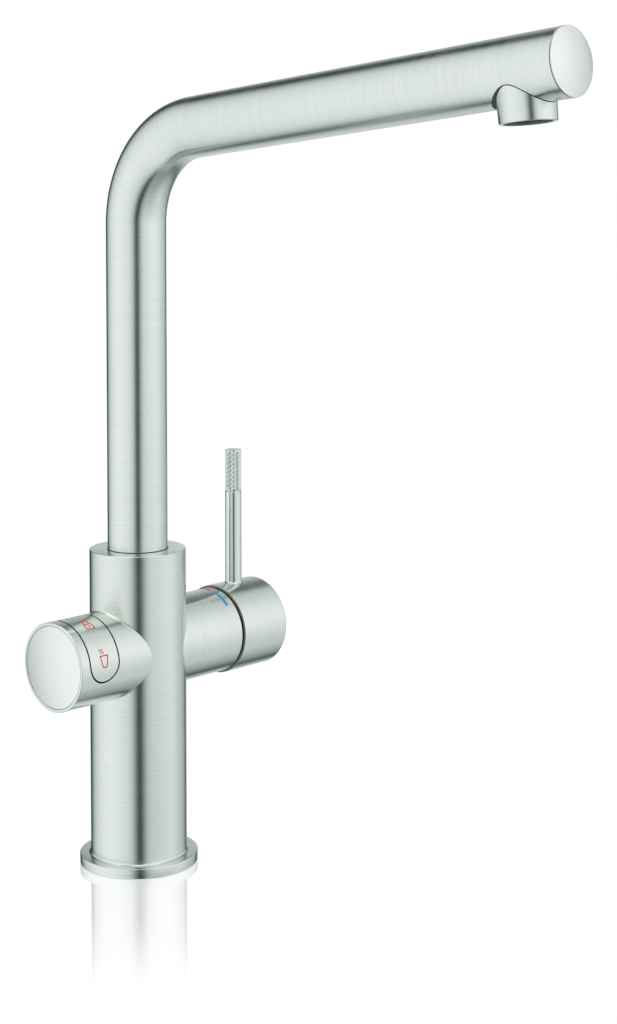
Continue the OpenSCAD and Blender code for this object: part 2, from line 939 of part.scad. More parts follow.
module control_housing() {
    color(dark_plastic)
        difference() {
            bar_x(housing_x, board_x, housing_r);
            bar_x(housing_x + cap_t, board_x + over, housing_hollow_r);
            key_frame() {
                // Pocket for the key's lug, and the bore of its pin
                translate([-lug_half_x - air, -lug_half_y - lug_air, lug_foot - lug_air])
                    cube([2 * (lug_half_x + air), 2 * (lug_half_y + lug_air), housing_r]);
                translate([-rock_pin_half - slack, 0, rock_r])
                    rotate([0, 90, 0])
                        cylinder(r = rock_pin_r + fit, h = 2 * (rock_pin_half + slack));
                for (angle = switch_angles)
                    rotate([-angle, 0, 0])
                        translate([switch_x - switch_half - fit, -switch_half - fit, switch_foot])
                            cube([2 * (switch_half + fit), 2 * (switch_half + fit), housing_r]);
                for (angle = guide_angles)
                    rotate([-angle, 0, 0])
                        translate([guide_x, 0, housing_hollow_r - over])
                            cylinder(r = guide_r + fit, h = housing_r);
            }
        }
}

module control_board() {
    color(board_green)
        difference() {
            bar_x(board_x, ledge_x, board_r);
            bar_x(board_x - over, ledge_x + over, board_hole_r);
        }
}

module key_switches() {
    color(dark_plastic)
        key_frame()
            for (angle = switch_angles)
                rotate([-angle, 0, 0])
                    translate([switch_x, 0, switch_foot]) {
                        translate([-switch_half, -switch_half, 0])
                            cube([2 * switch_half, 2 * switch_half, switch_h]);
                        cylinder(r = plunger_r, h = housing_r - switch_foot - slack);
                    }
}

module light_guides() {
    color(clear_red)
        key_frame()
            for (angle = guide_angles)
                rotate([-angle, 0, 0])
                    translate([guide_x, 0, housing_hollow_r])
                        cylinder(r = guide_r, h = housing_r - housing_hollow_r - slack);
}

module key_pin() {
    color(steel)
        key_frame()
            translate([-rock_pin_half, 0, rock_r])
                rotate([0, 90, 0])
                    cylinder(r = rock_pin_r, h = 2 * rock_pin_half);
}

module key_seal() {
    color(rubber)
        key_frame()
            difference() {
                wrapped_pill(key_seal_in_r, key_seal_in_r + key_seal_t, seal_half);
                translate([-lug_half_x - air, -lug_half_y - lug_air, 0])
                    cube([2 * (lug_half_x + air), 2 * (lug_half_y + lug_air), arm_r]);
            }
}

module control_key() {
    color(steel)
        key_frame()
            difference() {
                union() {
                    wrapped_pill(key_in_r, key_r, key_half);
                    translate([-lug_half_x, -lug_half_y, lug_foot])
                        cube([2 * lug_half_x, 2 * lug_half_y, key_in_r - lug_foot + key_t / 2]);
                }
                translate([-rock_pin_half, 0, rock_r])
                    rotate([0, 90, 0])
                        cylinder(r = rock_pin_r + pin_run, h = 2 * rock_pin_half);
            }
}

module end_cap() {
    color(steel)
        difference() {
            union() {
                bevelled_bar_x(-left_reach, -left_reach + cap_t, cap_r, slack, 0);
                bar_x(-left_reach + cap_t, -left_reach + cap_t + cap_plug, cap_plug_r);
            }
            translate([-left_reach + cap_t + cap_plug / 2, 0, arm_z])
                rotate([0, 90, 0])
                    translate([0, 0, -cap_seal_section])
                        ring_z(0, 2 * cap_seal_section, cap_seal_r - cap_seal_section, arm_r);
        }
}

module cap_seal() {
    color(rubber)
        translate([-left_reach + cap_t + cap_plug / 2, 0, arm_z])
            rotate([0, 90, 0])
                o_ring(cap_seal_r, cap_seal_section - fit);
}

module spout_stem() {
    color(brass)
        difference() {
            union() {
                bar_z(stem_foot, tube_foot, stem_r);
                bar_z(tube_foot, tube_foot + stem_plug, tube_in_r - fit);
            }
            bar_z(stem_foot - over, tube_foot + stem_plug + over, stem_hollow_r);
            for (share = stem_seal_shares)
                ring_z(stem_seal_z(share) - stem_seal_groove_h / 2,
                    stem_seal_z(share) + stem_seal_groove_h / 2, stem_seal_seat - fit, stem_r + over);
            rotate([0, 0, 90 - lock_groove_half])
                translate([0, 0, lock_z - lock_groove_h / 2])
                    rotate_extrude(angle = 2 * lock_groove_half)
                        translate([lock_groove_r, 0])
                            square([stem_r, lock_groove_h]);
        }
}

// Height of a stem seal, at a share of the way from the stem's foot to the lock groove
function stem_seal_z(share) = stem_foot + share * (lock_z - stem_foot);

module stem_seals() {
    color(rubber)
        for (share = stem_seal_shares)
            translate([0, 0, stem_seal_z(share)])
                o_ring(stem_seal_r, stem_seal_section - fit);
}

module spout_tube() {
    color(steel)
        difference() {
            spout_sweep(tube_foot, tube_end, tube_r);
            spout_sweep(tube_foot - over, tube_end + over, tube_in_r);
            outlet_frame()
                cylinder(r = aerator_bore_r, h = tube_r + over);
        }
}

// Path of the inner tube: up the spout, then down an elbow to the aerator
module boiling_path(foot, drop, r) {
    spout_sweep(foot, outlet_at - boil_elbow_r, r);
    spout_frame()
        translate([0, -boil_elbow_r, outlet_at - boil_elbow_r])
            rotate([90, 0, 90])
                rotate_extrude(angle = 90)
                    translate([boil_elbow_r, 0])
                        circle(r = r);
    outlet_frame()
        translate([0, 0, boil_elbow_r])
            cylinder(r = r, h = drop - boil_elbow_r);
}

module boiling_tube() {
    color(white_plastic)
        difference() {
            boiling_path(boil_tube_end, boil_tube_foot, boil_tube_r);
            boiling_path(boil_tube_end - over, boil_tube_foot + over, boil_tube_bore_r);
        }
}

module spout_end_cap() {
    color(steel)
        spout_frame()
            difference() {
                union() {
                    translate([0, 0, tube_end])
                        cylinder(r = spout_r - end_cap_step, h = end_cap_t);
                    translate([0, 0, tube_end - end_cap_plug])
                        cylinder(r = spout_in_r - fit, h = end_cap_plug);
                }
                translate([0, 0, tube_end - end_cap_plug - over])
                    cylinder(r = end_cap_hollow_r, h = end_cap_plug + over);
            }
}

module outlet_collar() {
    color(steel)
        difference() {
            outlet_frame()
                difference() {
                    cylinder(r = outlet_r, h = outlet_drop);
                    translate([0, 0, -over])
                        cylinder(r = aerator_bore_r, h = outlet_drop + 2 * over);
                }
            spout_frame()
                translate([0, 0, outlet_at - tube_r])
                    cylinder(r = spout_r + collar_gap, h = 2 * tube_r);
        }
}

module aerator_housing() {
    color(dark_plastic)
        outlet_frame()
            difference() {
                translate([0, 0, aerator_top])
                    cylinder(r = aerator_r, h = aerator_foot - aerator_top);
                translate([0, 0, aerator_top + aerator_plate])
                    cylinder(r = aerator_r - aerator_wall, h = aerator_foot);
                cylinder(r = boil_seat_r, h = aerator_foot);
                for (i = [0 : aerator_ways - 1])
                    rotate([0, 0, 360 * i / aerator_ways])
                        translate([aerator_way_circle_r, 0, 0])
                            cylinder(r = aerator_way_r, h = aerator_foot);
            }
}

module aerator_screen() {
    color(rubber)
        outlet_frame()
            difference() {
                translate([0, 0, screen_foot - screen_t])
                    cylinder(r = screen_r, h = screen_t);
                for (a = [-screen_rings : screen_rings])
                    for (b = [-screen_rings : screen_rings])
                        if (abs(a + b) <= screen_rings)
                            translate([screen_pitch * (a + b / 2), screen_pitch * b * sin(60), 0])
                                cylinder(r = screen_hole_r, h = screen_foot + over);
            }
}

base_flange();
deck_seal();
tap_body();
inlet_block();
block_screws();
water_manifold();
tube_seal();
spout_glide_ring();
spout_lock_screw();
cartridge_body();
port_seals();
fixed_disc();
cartridge_nut();
control_housing();
control_board();
key_switches();
light_guides();
key_pin();
key_seal();
end_cap();
cap_seal();
control_key();
spout_stem();
stem_seals();
spout_tube();
boiling_tube();
spout_end_cap();
outlet_collar();
aerator_housing();
aerator_screen();
cartridge_rotor();
spindle_pin();
dome_sleeve();
moving_disc();
disc_carrier();
spindle();
lever_hub();
hub_screw();
lever_rod();
lever_grip();
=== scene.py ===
import json
import math
import bpy
import numpy as np
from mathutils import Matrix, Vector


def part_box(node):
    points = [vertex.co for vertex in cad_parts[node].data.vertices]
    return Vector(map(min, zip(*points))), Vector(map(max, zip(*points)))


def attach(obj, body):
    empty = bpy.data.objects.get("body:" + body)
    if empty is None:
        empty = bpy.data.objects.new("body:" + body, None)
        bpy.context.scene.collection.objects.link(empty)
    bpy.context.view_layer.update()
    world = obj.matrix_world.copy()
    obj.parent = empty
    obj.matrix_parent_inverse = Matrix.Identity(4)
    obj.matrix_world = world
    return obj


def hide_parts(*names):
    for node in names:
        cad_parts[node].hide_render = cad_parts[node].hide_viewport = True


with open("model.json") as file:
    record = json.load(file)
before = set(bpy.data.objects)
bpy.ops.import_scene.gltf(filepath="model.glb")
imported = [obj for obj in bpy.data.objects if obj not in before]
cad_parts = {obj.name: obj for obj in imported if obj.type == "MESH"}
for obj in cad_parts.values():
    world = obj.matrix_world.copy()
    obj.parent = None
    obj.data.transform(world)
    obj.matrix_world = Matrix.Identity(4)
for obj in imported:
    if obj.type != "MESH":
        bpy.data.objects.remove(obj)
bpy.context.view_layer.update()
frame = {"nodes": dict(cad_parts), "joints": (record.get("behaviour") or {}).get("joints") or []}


def limits(node):
    """Lowest and highest corner of a CAD node at rest, in millimetres to a hundredth."""
    return [[round(1000 * v, 2) for v in corner_point] for corner_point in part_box(node)]


# Sizes in millimetres that the frame gives
body_low, body_high = limits("tap_body")
tube_low, tube_high = limits("spout_tube")
hub_low, hub_high = limits("lever_hub")
grip_low, grip_high = limits("lever_grip")
key_low, key_high = limits("control_key")
LEFT_END, PLATE = body_low[0], body_low[2]
RIGHT_END, COLUMN_R, BODY_TOP = body_high
FLANGE_R = limits("base_flange")[1][0]
CAP_R = limits("end_cap")[1][1]
TUBE_R, TUBE_FOOT = tube_high[0], tube_low[2]
HUB_X, HUB_END = hub_low[0], hub_high[0]
HUB_R, ARM_Z = (hub_high[2] - hub_low[2]) / 2, (hub_high[2] + hub_low[2]) / 2
ROD_X, ROD_R = (grip_high[0] + grip_low[0]) / 2, (grip_high[0] - grip_low[0]) / 2
GRIP_FOOT, ROD_TIP = grip_low[2], grip_high[2]
KEY_X = (key_low[0] + key_high[0]) / 2
LEVER_X = next(1000 * joint["pos_m"][0] for joint in frame["joints"] if joint["name"] == "lever_flow")

# Sizes in millimetres and degrees that the frame's boxes don't give
ARM_R = 20.25
SPOUT_R = 13.92
BEND_R, BEND_Z, BEND_DEG = 44.5, 299.4, 84.0
SPOUT_END, OUTLET_AT = 206.9, 184.3
KEY_DEG, KEY_SPAN = 43.0, 39.0
WINDOW_HALF, KEY_HALF, KEY_EDGE = 8.78, 8.1, 0.05
FILLET, DISC_TILT = 1.0, 16.0

TURNS, TUBE_TURNS, ROD_TURNS = 240, 160, 96


# Frames of the arms, the spout and the outlet, whose Z runs along each form's own axis
def place(origin, x, y, z):
    m = np.eye(4)
    m[:3, 0], m[:3, 1], m[:3, 2], m[:3, 3] = x, y, z, origin
    return m


SLOPE = math.radians(90 - BEND_DEG)
BEND_END = np.array([0, -BEND_R + BEND_R * math.sin(SLOPE), BEND_Z + BEND_R * math.cos(SLOPE)])
ALONG = np.array([0, -math.cos(SLOPE), math.sin(SLOPE)])
ACROSS = np.array([0, math.sin(SLOPE), math.cos(SLOPE)])
UPRIGHT = np.eye(4)
ARMS = place([0, 0, ARM_Z], [0, 0, 1], [0, -1, 0], [1, 0, 0])
SPOUT = place(BEND_END, [1, 0, 0], ACROSS, ALONG)
OUTLET = place(BEND_END + OUTLET_AT * ALONG, [1, 0, 0], ALONG, -ACROSS)
ROD = place([ROD_X, 0, 0], [1, 0, 0], [0, 1, 0], [0, 0, 1])


# Mesh building
def unit(v):
    return v / np.maximum(np.linalg.norm(v, axis=-1, keepdims=True), 1e-12)


def way_along(points):
    """Way along a line of points, from its start."""
    return np.concatenate([[0], np.cumsum(np.linalg.norm(np.diff(points, axis=0), axis=1))])


def circle(steps):
    return np.linspace(0, 2 * math.pi, steps + 1)


def arc(x, y, r, start, end, steps):
    """Points of an arc, from one angle in degrees to another."""
    angles = [math.radians(start + (end - start) * k / steps) for k in range(steps + 1)]
    return [(x + r * math.cos(a), y + r * math.sin(a)) for a in angles]


# Corners of a turned profile: where the arc's centre lies from the corner, and the arc's first angle
CORNERS = {
    "outer_foot": (-1, 1, -90),
    "outer_top": (-1, -1, 0),
    "bore_top": (1, -1, 90),
    "bore_foot": (1, 1, 180),
}


def corner(kind, r, height, size, steps):
    """Quarter arc that rounds a profile's corner at a radius and a height."""
    right, up, start = CORNERS[kind]
    return arc(r + right * size, height + up * size, size, start, start + 90, steps)


class Shell:
    """Faces with their own corner normals and grain: U across the brush marks, V along them."""

    MERGE = 0.002       # corners closer than this, in millimetres, become one point
    GRAIN_UNIT = 0.01   # UV units for each millimetre of grain

    def __init__(self):
        self.parts = []

    def grid(self, points, normals, grain, at=UPRIGHT, mat=0):
        """Faces between rows of points."""
        points = points @ at[:3, :3].T + at[:3, 3]
        normals = unit(normals @ at[:3, :3].T)
        corners = [np.stack([a[:-1, :-1], a[1:, :-1], a[1:, 1:], a[:-1, 1:]], 2).reshape(-1, 4, a.shape[-1])
                   for a in (points, normals, grain)]
        self.parts.append((*corners, mat))

    def facets(self, quads, grain, axis, mat=0):
        """Flat faces of four corners each, round an upright axis at a given x and y."""
        across = np.cross(quads[:, 2] - quads[:, 0], quads[:, 3] - quads[:, 1])
        from_axis = quads.mean(1)[:, :2] - axis
        out = unit(across) * np.sign(np.sum(across[:, :2] * from_axis, 1))[:, None]
        self.parts.append((quads, np.repeat(out[:, None], 4, 1), grain, mat))

    def loops(self, ids, turned):
        """Corners of each face in order, without doubled points and without faces that vanish."""
        for k in range(len(ids)):
            order = (3, 2, 1, 0) if turned[k] else (0, 1, 2, 3)
            kept = [c for n, c in enumerate(order) if ids[k, c] != ids[k, order[n - 1]]]
            if len({ids[k, c] for c in kept}) >= 3:
                yield k, kept

    def make(self, name, body, materials, *nodes):
        """The finished piece, riding on a body and standing for the CAD nodes."""
        points, normals, grain = (np.concatenate([p[n] for p in self.parts]) for n in range(3))
        mats = np.concatenate([np.full(len(p[0]), p[3]) for p in self.parts])
        keys = np.round(points.reshape(-1, 3) / self.MERGE).astype(np.int64)
        _, first, ids = np.unique(keys, axis=0, return_index=True, return_inverse=True)
        ids = ids.reshape(-1, 4)
        across = np.cross(points[:, 2] - points[:, 0], points[:, 3] - points[:, 1])
        faces, loops, face_mats = [], [], []
        for k, kept in self.loops(ids, np.sum(across * normals.sum(1), 1) < 0):
            faces.append([int(ids[k, c]) for c in kept])
            loops += [4 * k + c for c in kept]
            face_mats.append(mats[k])
        mesh = bpy.data.meshes.new(name)
        mesh.from_pydata((points.reshape(-1, 3)[first] * 0.001).tolist(), [], faces)
        uv = mesh.uv_layers.new(name="grain")
        places = grain.reshape(-1, 2)[loops] * self.GRAIN_UNIT
        uv.data.foreach_set("uv", places.astype(np.float32).ravel())
        mesh.polygons.foreach_set("material_index", np.array(face_mats, dtype=np.int32))
        mesh.polygons.foreach_set("use_smooth", np.ones(len(faces), dtype=bool))
        for material in materials:
            mesh.materials.append(material)
        mesh.normals_split_custom_set(normals.reshape(-1, 3)[loops].tolist())
        mesh.update()
        piece = bpy.data.objects.new(name, mesh)
        bpy.context.scene.collection.objects.link(piece)
        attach(piece, body)
        if nodes:
            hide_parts(*nodes)


def smooth_runs(out, sharpest=35):
    """First and last segment of each stretch of a profile that has no sharp corner."""
    limit = math.cos(math.radians(sharpest))
    starts = [0] + [i for i in range(1, len(out)) if out[i] @ out[i - 1] < limit]
    return list(zip(starts, starts[1:] + [len(out)]))


def lathe(shell, profile, at=UPRIGHT, turns=TURNS, mat=0):
    """Turns a profile of (radius, height) about the frame's Z. Its outside lies to the right of its way."""
    pts = np.array(profile, float)
    step = np.diff(pts, axis=0)
    out = unit(np.stack([step[:, 1], -step[:, 0]], 1))
    angle = circle(turns)
    c, s, one = np.cos(angle), np.sin(angle), np.ones(turns + 1)
    for a, b in smooth_runs(out):
        p = pts[a:b + 1]
        n = unit(np.vstack([out[a:a + 1], out[a:b - 1] + out[a + 1:b], out[b - 1:b]]))
        widest = np.full(len(p), max(p[:, 0].max(), 1))
        points = np.stack([np.outer(p[:, 0], c), np.outer(p[:, 0], s), np.outer(p[:, 1], one)], 2)
        normals = np.stack([np.outer(n[:, 0], c), np.outer(n[:, 0], s), np.outer(n[:, 1], one)], 2)
        grain = np.stack([np.outer(way_along(p) + p[0, 1], one), np.outer(widest, angle)], 2)
        shell.grid(points, normals, grain, at, mat)


def disc(shell, r, height, side, sag, tilt, at, turns=TURNS, swap=False, rings=28):
    """Round end face of material 1, crowned by its normals' tilt, with straight brush marks."""
    share = np.linspace(0, 1, rings + 1)[:, None]
    angle = circle(turns)[None]
    lean = np.radians(tilt) * share
    points = np.stack([r * share * np.cos(angle), r * share * np.sin(angle),
                       height - side * sag * share ** 2 + 0 * angle], 2)
    normals = np.stack([np.sin(lean) * np.cos(angle), np.sin(lean) * np.sin(angle),
                        side * np.cos(lean) + 0 * angle], 2)
    grain = points[..., 1::-1] if swap else points[..., :2]
    shell.grid(points, normals, grain, at, 1)


def holed(shell, loop, low, high, rings, lift):
    """Sheet from corner low to corner high with one hole. lift gives points, normals and grain."""
    mid = (loop.min(0) + loop.max(0)) / 2
    d = loop - mid
    d = np.where(abs(d) < 1e-9, 1e-9, d)
    reach = np.where(d > 0, np.array(high) - mid, np.array(low) - mid) / d
    outer = mid + d * reach.min(1, keepdims=True)
    for corner_point in ((x, y) for x in (low[0], high[0]) for y in (low[1], high[1])):
        near = np.linalg.norm(outer[:-1] - corner_point, axis=1).argmin()
        outer[near] = corner_point
        if near == 0:
            outer[-1] = corner_point
    share = np.linspace(0, 1, rings + 1)[:, None, None]
    shell.grid(*lift(loop[None] + (outer - loop)[None] * share))


def on_arm(q, r=ARM_R):
    """Sheet coordinates (x, arc from the top towards the front) on a level cylinder."""
    t = q[..., 1] / r
    n = np.stack([0 * t, -np.sin(t), np.cos(t)], -1)
    return np.stack([q[..., 0], 0 * t, 0 * t + ARM_Z], -1) + r * n, n, q


def on_hub(q):
    return on_arm(q, HUB_R)


def on_column(side):
    """Sheet coordinates (arc, height) on the column's right or left half."""
    def lift(q):
        t = q[..., 0] / COLUMN_R
        n = side * np.stack([np.cos(t), np.sin(t), 0 * t], -1)
        p = COLUMN_R * n
        p[..., 2] = q[..., 1]
        return p, n, q[..., ::-1]
    return lift


def fillet_strip(shell, centre, a, b, radius, along, steps=7):
    """Rolling-ball fillet: centres of the ball and its contacts with two surfaces."""
    share = np.linspace(0, 1, steps + 1)[:, None, None]
    ray = unit(unit(a - centre)[None] * (1 - share) + unit(b - centre)[None] * share)
    grain = np.stack([share[..., 0] * radius * 1.5 + 0 * along[None], along[None] + 0 * share[..., 0]], 2)
    shell.grid(centre[None] + radius * ray, -ray, grain)


# Shader nodes
def begin(name):
    """New material, its node tree and its main shader."""
    m = bpy.data.materials.new(name)
    m.use_nodes = True
    return m, m.node_tree, m.node_tree.nodes["Principled BSDF"]


def put(tree, socket, v):
    """Links a socket, or sets its value."""
    if isinstance(v, bpy.types.NodeSocket):
        tree.links.new(v, socket)
    elif isinstance(v, (tuple, list)) and len(v) == 3 and len(socket.default_value) == 4:
        socket.default_value = (*v, 1)
    else:
        socket.default_value = v


def add(tree, kind, props=None, **sockets):
    """New node. A socket is named, with _ for a space, or counted, as in i0."""
    n = tree.nodes.new(kind)
    for k, v in (props or {}).items():
        setattr(n, k, v)
    for k, v in sockets.items():
        put(tree, n.inputs[int(k[1:]) if k[1:].isdigit() else k.replace("_", " ")], v)
    return n


def math_node(tree, op, a, b=0.0, c=0.0):
    return add(tree, "ShaderNodeMath", {"operation": op}, i0=a, i1=b, i2=c).outputs[0]


def span(tree, value, a, b, c, d, smooth=False):
    """A value from a to b becomes one from c to d."""
    kind = {"interpolation_type": "SMOOTHSTEP"} if smooth else None
    n = add(tree, "ShaderNodeMapRange", kind, Value=value, From_Min=a, From_Max=b, To_Min=c, To_Max=d)
    return n.outputs[0]


def sharpen(tree, noise, low=0.0, high=1.0):
    """Noise keeps near its middle, so that stretch is spread from low to high."""
    return span(tree, noise, 0.3, 0.7, low, high)


def blend(tree, factor, a, b):
    n = add(tree, "ShaderNodeMix", {"data_type": "RGBA"})
    for socket, v in ((n.inputs[0], factor), (n.inputs[6], a), (n.inputs[7], b)):
        put(tree, socket, v)
    return n.outputs[2]


def rgb(tree, r, g, b):
    return add(tree, "ShaderNodeCombineColor", i0=r, i1=g, i2=b).outputs[0]


def bump(tree, principled, height, strength, distance):
    n = add(tree, "ShaderNodeBump", Strength=strength, Distance=distance, Height=height)
    put(tree, principled.inputs["Normal"], n.outputs[0])


def object_place(tree):
    return add(tree, "ShaderNodeTexCoord").outputs["Object"]


# Materials
def brushed(name, dark, light, rough, aniso, depth=0.00002, contrast=1.0):
    """Brushed steel. The noise has four dimensions, so it has no seam round a tube."""
    broad_share, broad_gloss, fine_dull, cloud_gloss = 0.14, 0.01, 0.06, 0.03
    m, t, b = begin(name)
    grain = add(t, "ShaderNodeUVMap", {"uv_map": "grain"}).outputs[0]
    u = add(t, "ShaderNodeSeparateXYZ", Vector=grain).outputs[0]
    where = object_place(t)
    streaks = []
    # Fine marks, broad bands and clouds: waves per millimetre across the marks, waves per metre, and detail
    for per_mm, per_metre, detail in ((2.4, 30.0, 3.0), (0.96, 16.0, 2.0), (0.05, 9.0, 2.0)):
        v = add(t, "ShaderNodeVectorMath", {"operation": "SCALE"}, i0=where, Scale=per_metre).outputs[0]
        w = math_node(t, "MULTIPLY", u, per_mm / Shell.GRAIN_UNIT)
        n = add(t, "ShaderNodeTexNoise", {"noise_dimensions": "4D"}, Vector=v, W=w, Scale=1.0, Detail=detail,
                Roughness=0.6)
        streaks.append(sharpen(t, n.outputs[0]))
    fine, broad, cloud = streaks
    mixed = math_node(t, "MULTIPLY_ADD", fine, 1 - broad_share, math_node(t, "MULTIPLY", broad, broad_share))
    tone = span(t, mixed, 0.5 - 0.5 / contrast, 0.5 + 0.5 / contrast, 0.0, 1.0)
    put(t, b.inputs["Base Color"], blend(t, tone, dark, light))
    r = math_node(t, "MULTIPLY_ADD", broad, -broad_gloss, rough + 0.015)
    r = math_node(t, "MULTIPLY_ADD", cloud, -cloud_gloss, r)
    r = math_node(t, "MULTIPLY_ADD", fine, fine_dull, r)
    put(t, b.inputs["Roughness"], r)
    b.inputs["Metallic"].default_value = 1
    b.inputs["Anisotropic"].default_value = aniso
    tangent = add(t, "ShaderNodeTangent", {"direction_type": "UV_MAP", "uv_map": "grain"})
    put(t, b.inputs["Tangent"], tangent.outputs[0])
    bump(t, b, fine, 0.35, depth)
    return m


def machined(name, dark, light, rough, metal=1.0):
    """Turned or cast metal of hidden and small parts: fine marks, clouds and slightly dull edges."""
    m, t, b = begin(name)
    where = object_place(t)
    marks = add(t, "ShaderNodeTexNoise", Vector=where, Scale=1600.0, Detail=3.0, Roughness=0.65).outputs[0]
    cloud = add(t, "ShaderNodeTexNoise", Vector=where, Scale=90.0, Detail=4.0, Roughness=0.6).outputs[0]
    f = math_node(t, "MULTIPLY_ADD", sharpen(t, marks), 0.5, math_node(t, "MULTIPLY", cloud, 0.5))
    put(t, b.inputs["Base Color"], blend(t, f, dark, light))
    put(t, b.inputs["Roughness"], span(t, f, 0.0, 1.0, rough + 0.1, rough - 0.06))
    b.inputs["Metallic"].default_value = metal
    bump(t, b, marks, 0.25, 0.00003)
    return m


def moulded(name, dark, light, rough, grain=1300.0, depth=0.00002, specular=0.5, coat=0.0):
    """Plastic, rubber, ceramic or enamel: fine spark texture and soft clouds."""
    m, t, b = begin(name)
    where = object_place(t)
    spark = add(t, "ShaderNodeTexVoronoi", Vector=where, Scale=grain).outputs["Distance"]
    cloud = add(t, "ShaderNodeTexNoise", Vector=where, Scale=120.0, Detail=4.0, Roughness=0.55).outputs[0]
    f = sharpen(t, cloud)
    put(t, b.inputs["Base Color"], blend(t, f, dark, light))
    put(t, b.inputs["Roughness"], span(t, f, 0.0, 1.0, rough + 0.06, rough - 0.05))
    b.inputs["Specular IOR Level"].default_value = specular
    b.inputs["Coat Weight"].default_value = coat
    bump(t, b, spark, 0.3, depth)
    return m


def lacquered_board(name):
    """Circuit board: tracks under green lacquer."""
    m, t, b = begin(name)
    where = object_place(t)
    tracks = add(t, "ShaderNodeTexBrick", Vector=where, Scale=420.0, Color1=(0.05, 0.22, 0.12),
                 Color2=(0.07, 0.30, 0.17), Mortar=(0.12, 0.40, 0.22))
    grit = add(t, "ShaderNodeTexNoise", Vector=where, Scale=900.0, Detail=3.0).outputs[0]
    colour = blend(t, sharpen(t, grit, 0.0, 0.5), tracks.outputs[0], (0.04, 0.18, 0.10))
    put(t, b.inputs["Base Color"], colour)
    put(t, b.inputs["Roughness"], sharpen(t, grit, 0.28, 0.4))
    bump(t, b, tracks.outputs[1], 0.3, 0.00003)
    return m


STEEL = brushed("brushed_steel", (0.715, 0.775, 0.740), (0.800, 0.855, 0.822), 0.20, 0.75)
# End faces' steel: its softer brush marks are its finish; its base colour, lighter than the other steel, is
# painted light that brightens the end faces
FACE_STEEL_WITH_PAINTED_LIGHT = brushed("brushed_steel_faces_painted_light", (0.810, 0.855, 0.830), (0.892, 0.928, 0.909), 0.24, 0.6,
                     depth=0.0000025, contrast=0.22)
LINER = moulded("collar_liner", (0.07, 0.13, 0.12), (0.12, 0.19, 0.175), 0.4)
# Painted shade: near-black metal put on gap walls, grooves and strips where the shade of a gap falls
GAP_SHADE = machined("seam_shadow", (0.035, 0.055, 0.05), (0.06, 0.085, 0.076), 0.6, metal=0.3)
SCREW = machined("screw_steel", (0.52, 0.53, 0.53), (0.70, 0.71, 0.71), 0.32)
BRASS = machined("machined_brass", (0.70, 0.54, 0.27), (0.87, 0.72, 0.42), 0.30)
RUBBER = moulded("seal_rubber", (0.030, 0.034, 0.033), (0.060, 0.066, 0.063), 0.62, 900.0, 0.00004, 0.35)
WHITE = moulded("white_acetal", (0.80, 0.80, 0.78), (0.90, 0.90, 0.88), 0.42, 1500.0)
DARK = moulded("dark_plastic", (0.028, 0.038, 0.035), (0.050, 0.064, 0.058), 0.38)
# Grey of the dome sleeve; on the hub's hollow it is painted shade, a flat grey standing in for shaded steel
# in the gap
SLEEVE_AND_GAP_SHADE = moulded("sleeve_plastic_and_gap_shade", (0.20, 0.24, 0.22), (0.26, 0.30, 0.28), 0.36)
CERAMIC = moulded("lapped_ceramic", (0.88, 0.86, 0.82), (0.95, 0.93, 0.90), 0.16, 2200.0, 0.000005, 0.6, 0.2)
CLEAR_RED = moulded("tinted_guide", (0.70, 0.22, 0.18), (0.85, 0.36, 0.30), 0.16, 700.0, 0.00001, 0.6, 0.3)
RED = moulded("red_enamel", (0.72, 0.03, 0.045), (0.80, 0.05, 0.065), 0.34, 2600.0, 0.000004)
BLUE = moulded("blue_enamel", (0.002, 0.31, 0.66), (0.004, 0.38, 0.76), 0.34, 2600.0, 0.000004)
BOARD = lacquered_board("board_lacquer")

# CAD nodes that keep their shape
FINISH = {
    BRASS: ("inlet_block", "water_manifold", "spout_stem", "cartridge_nut", "spindle"),
    SCREW: ("block_screws", "spout_lock_screw", "hub_screw", "key_pin", "spindle_pin"),
    RUBBER: ("deck_seal", "tube_seal", "port_seals", "stem_seals", "cap_seal", "key_seal"),
    WHITE: ("spout_glide_ring", "cartridge_body", "cartridge_rotor", "boiling_tube"),
    CERAMIC: ("fixed_disc", "moving_disc"),
    DARK: ("disc_carrier", "control_housing", "key_switches", "aerator_housing", "aerator_screen"),
    SLEEVE_AND_GAP_SHADE: ("dome_sleeve",),
    BOARD: ("control_board",),
    CLEAR_RED: ("light_guides",),
}


def finish_nodes():
    for material, names in FINISH.items():
        for name in names:
            node = frame["nodes"][name]
            if not node.material_slots:
                node.data.materials.append(material)
            for slot in node.material_slots:
                slot.material = material


# Base flange, with the seal's groove below and the fillet that runs up to the column
def make_flange():
    bore, groove_in, groove_out, groove_top = 18.5, 22.8, 26.2, 1.5
    land, foot_round, top_round, rise = 19.0, 0.3, 0.35, 1.1
    hidden_top = PLATE + 0.3
    flange = Shell()
    lathe(flange, [(land, 0.0), (groove_in, 0.0), (groove_in, groove_top), (groove_out, groove_top),
                   (groove_out, 0.0), (FLANGE_R - foot_round, 0.0)]
          + corner("outer_foot", FLANGE_R, 0.0, foot_round, 3)
          + corner("outer_top", FLANGE_R, PLATE, top_round, 5)
          + [(COLUMN_R + rise, PLATE)] + arc(COLUMN_R + rise, PLATE + rise, rise, -90, -180, 8))
    lathe(flange, [(COLUMN_R, hidden_top), (bore, hidden_top), (bore, 0.0), (land, 0.0)])
    flange.make("flange_skin", "tap_frame", [STEEL], "base_flange")


# Column with both arms. Between two heights the column is a sheet with a hole where the arm joins it.
JOIN_LOW, JOIN_HIGH = 72.0, 130.0
END_LIP, RIGHT_ROUND = 0.5, 0.3
# The left arm has a sheet round the key's window: its right edge, and its first and last step of the turn
PATCH_X, PATCH_FIRST, PATCH_LAST = -26.5, -20, 77
turn = circle(TURNS)


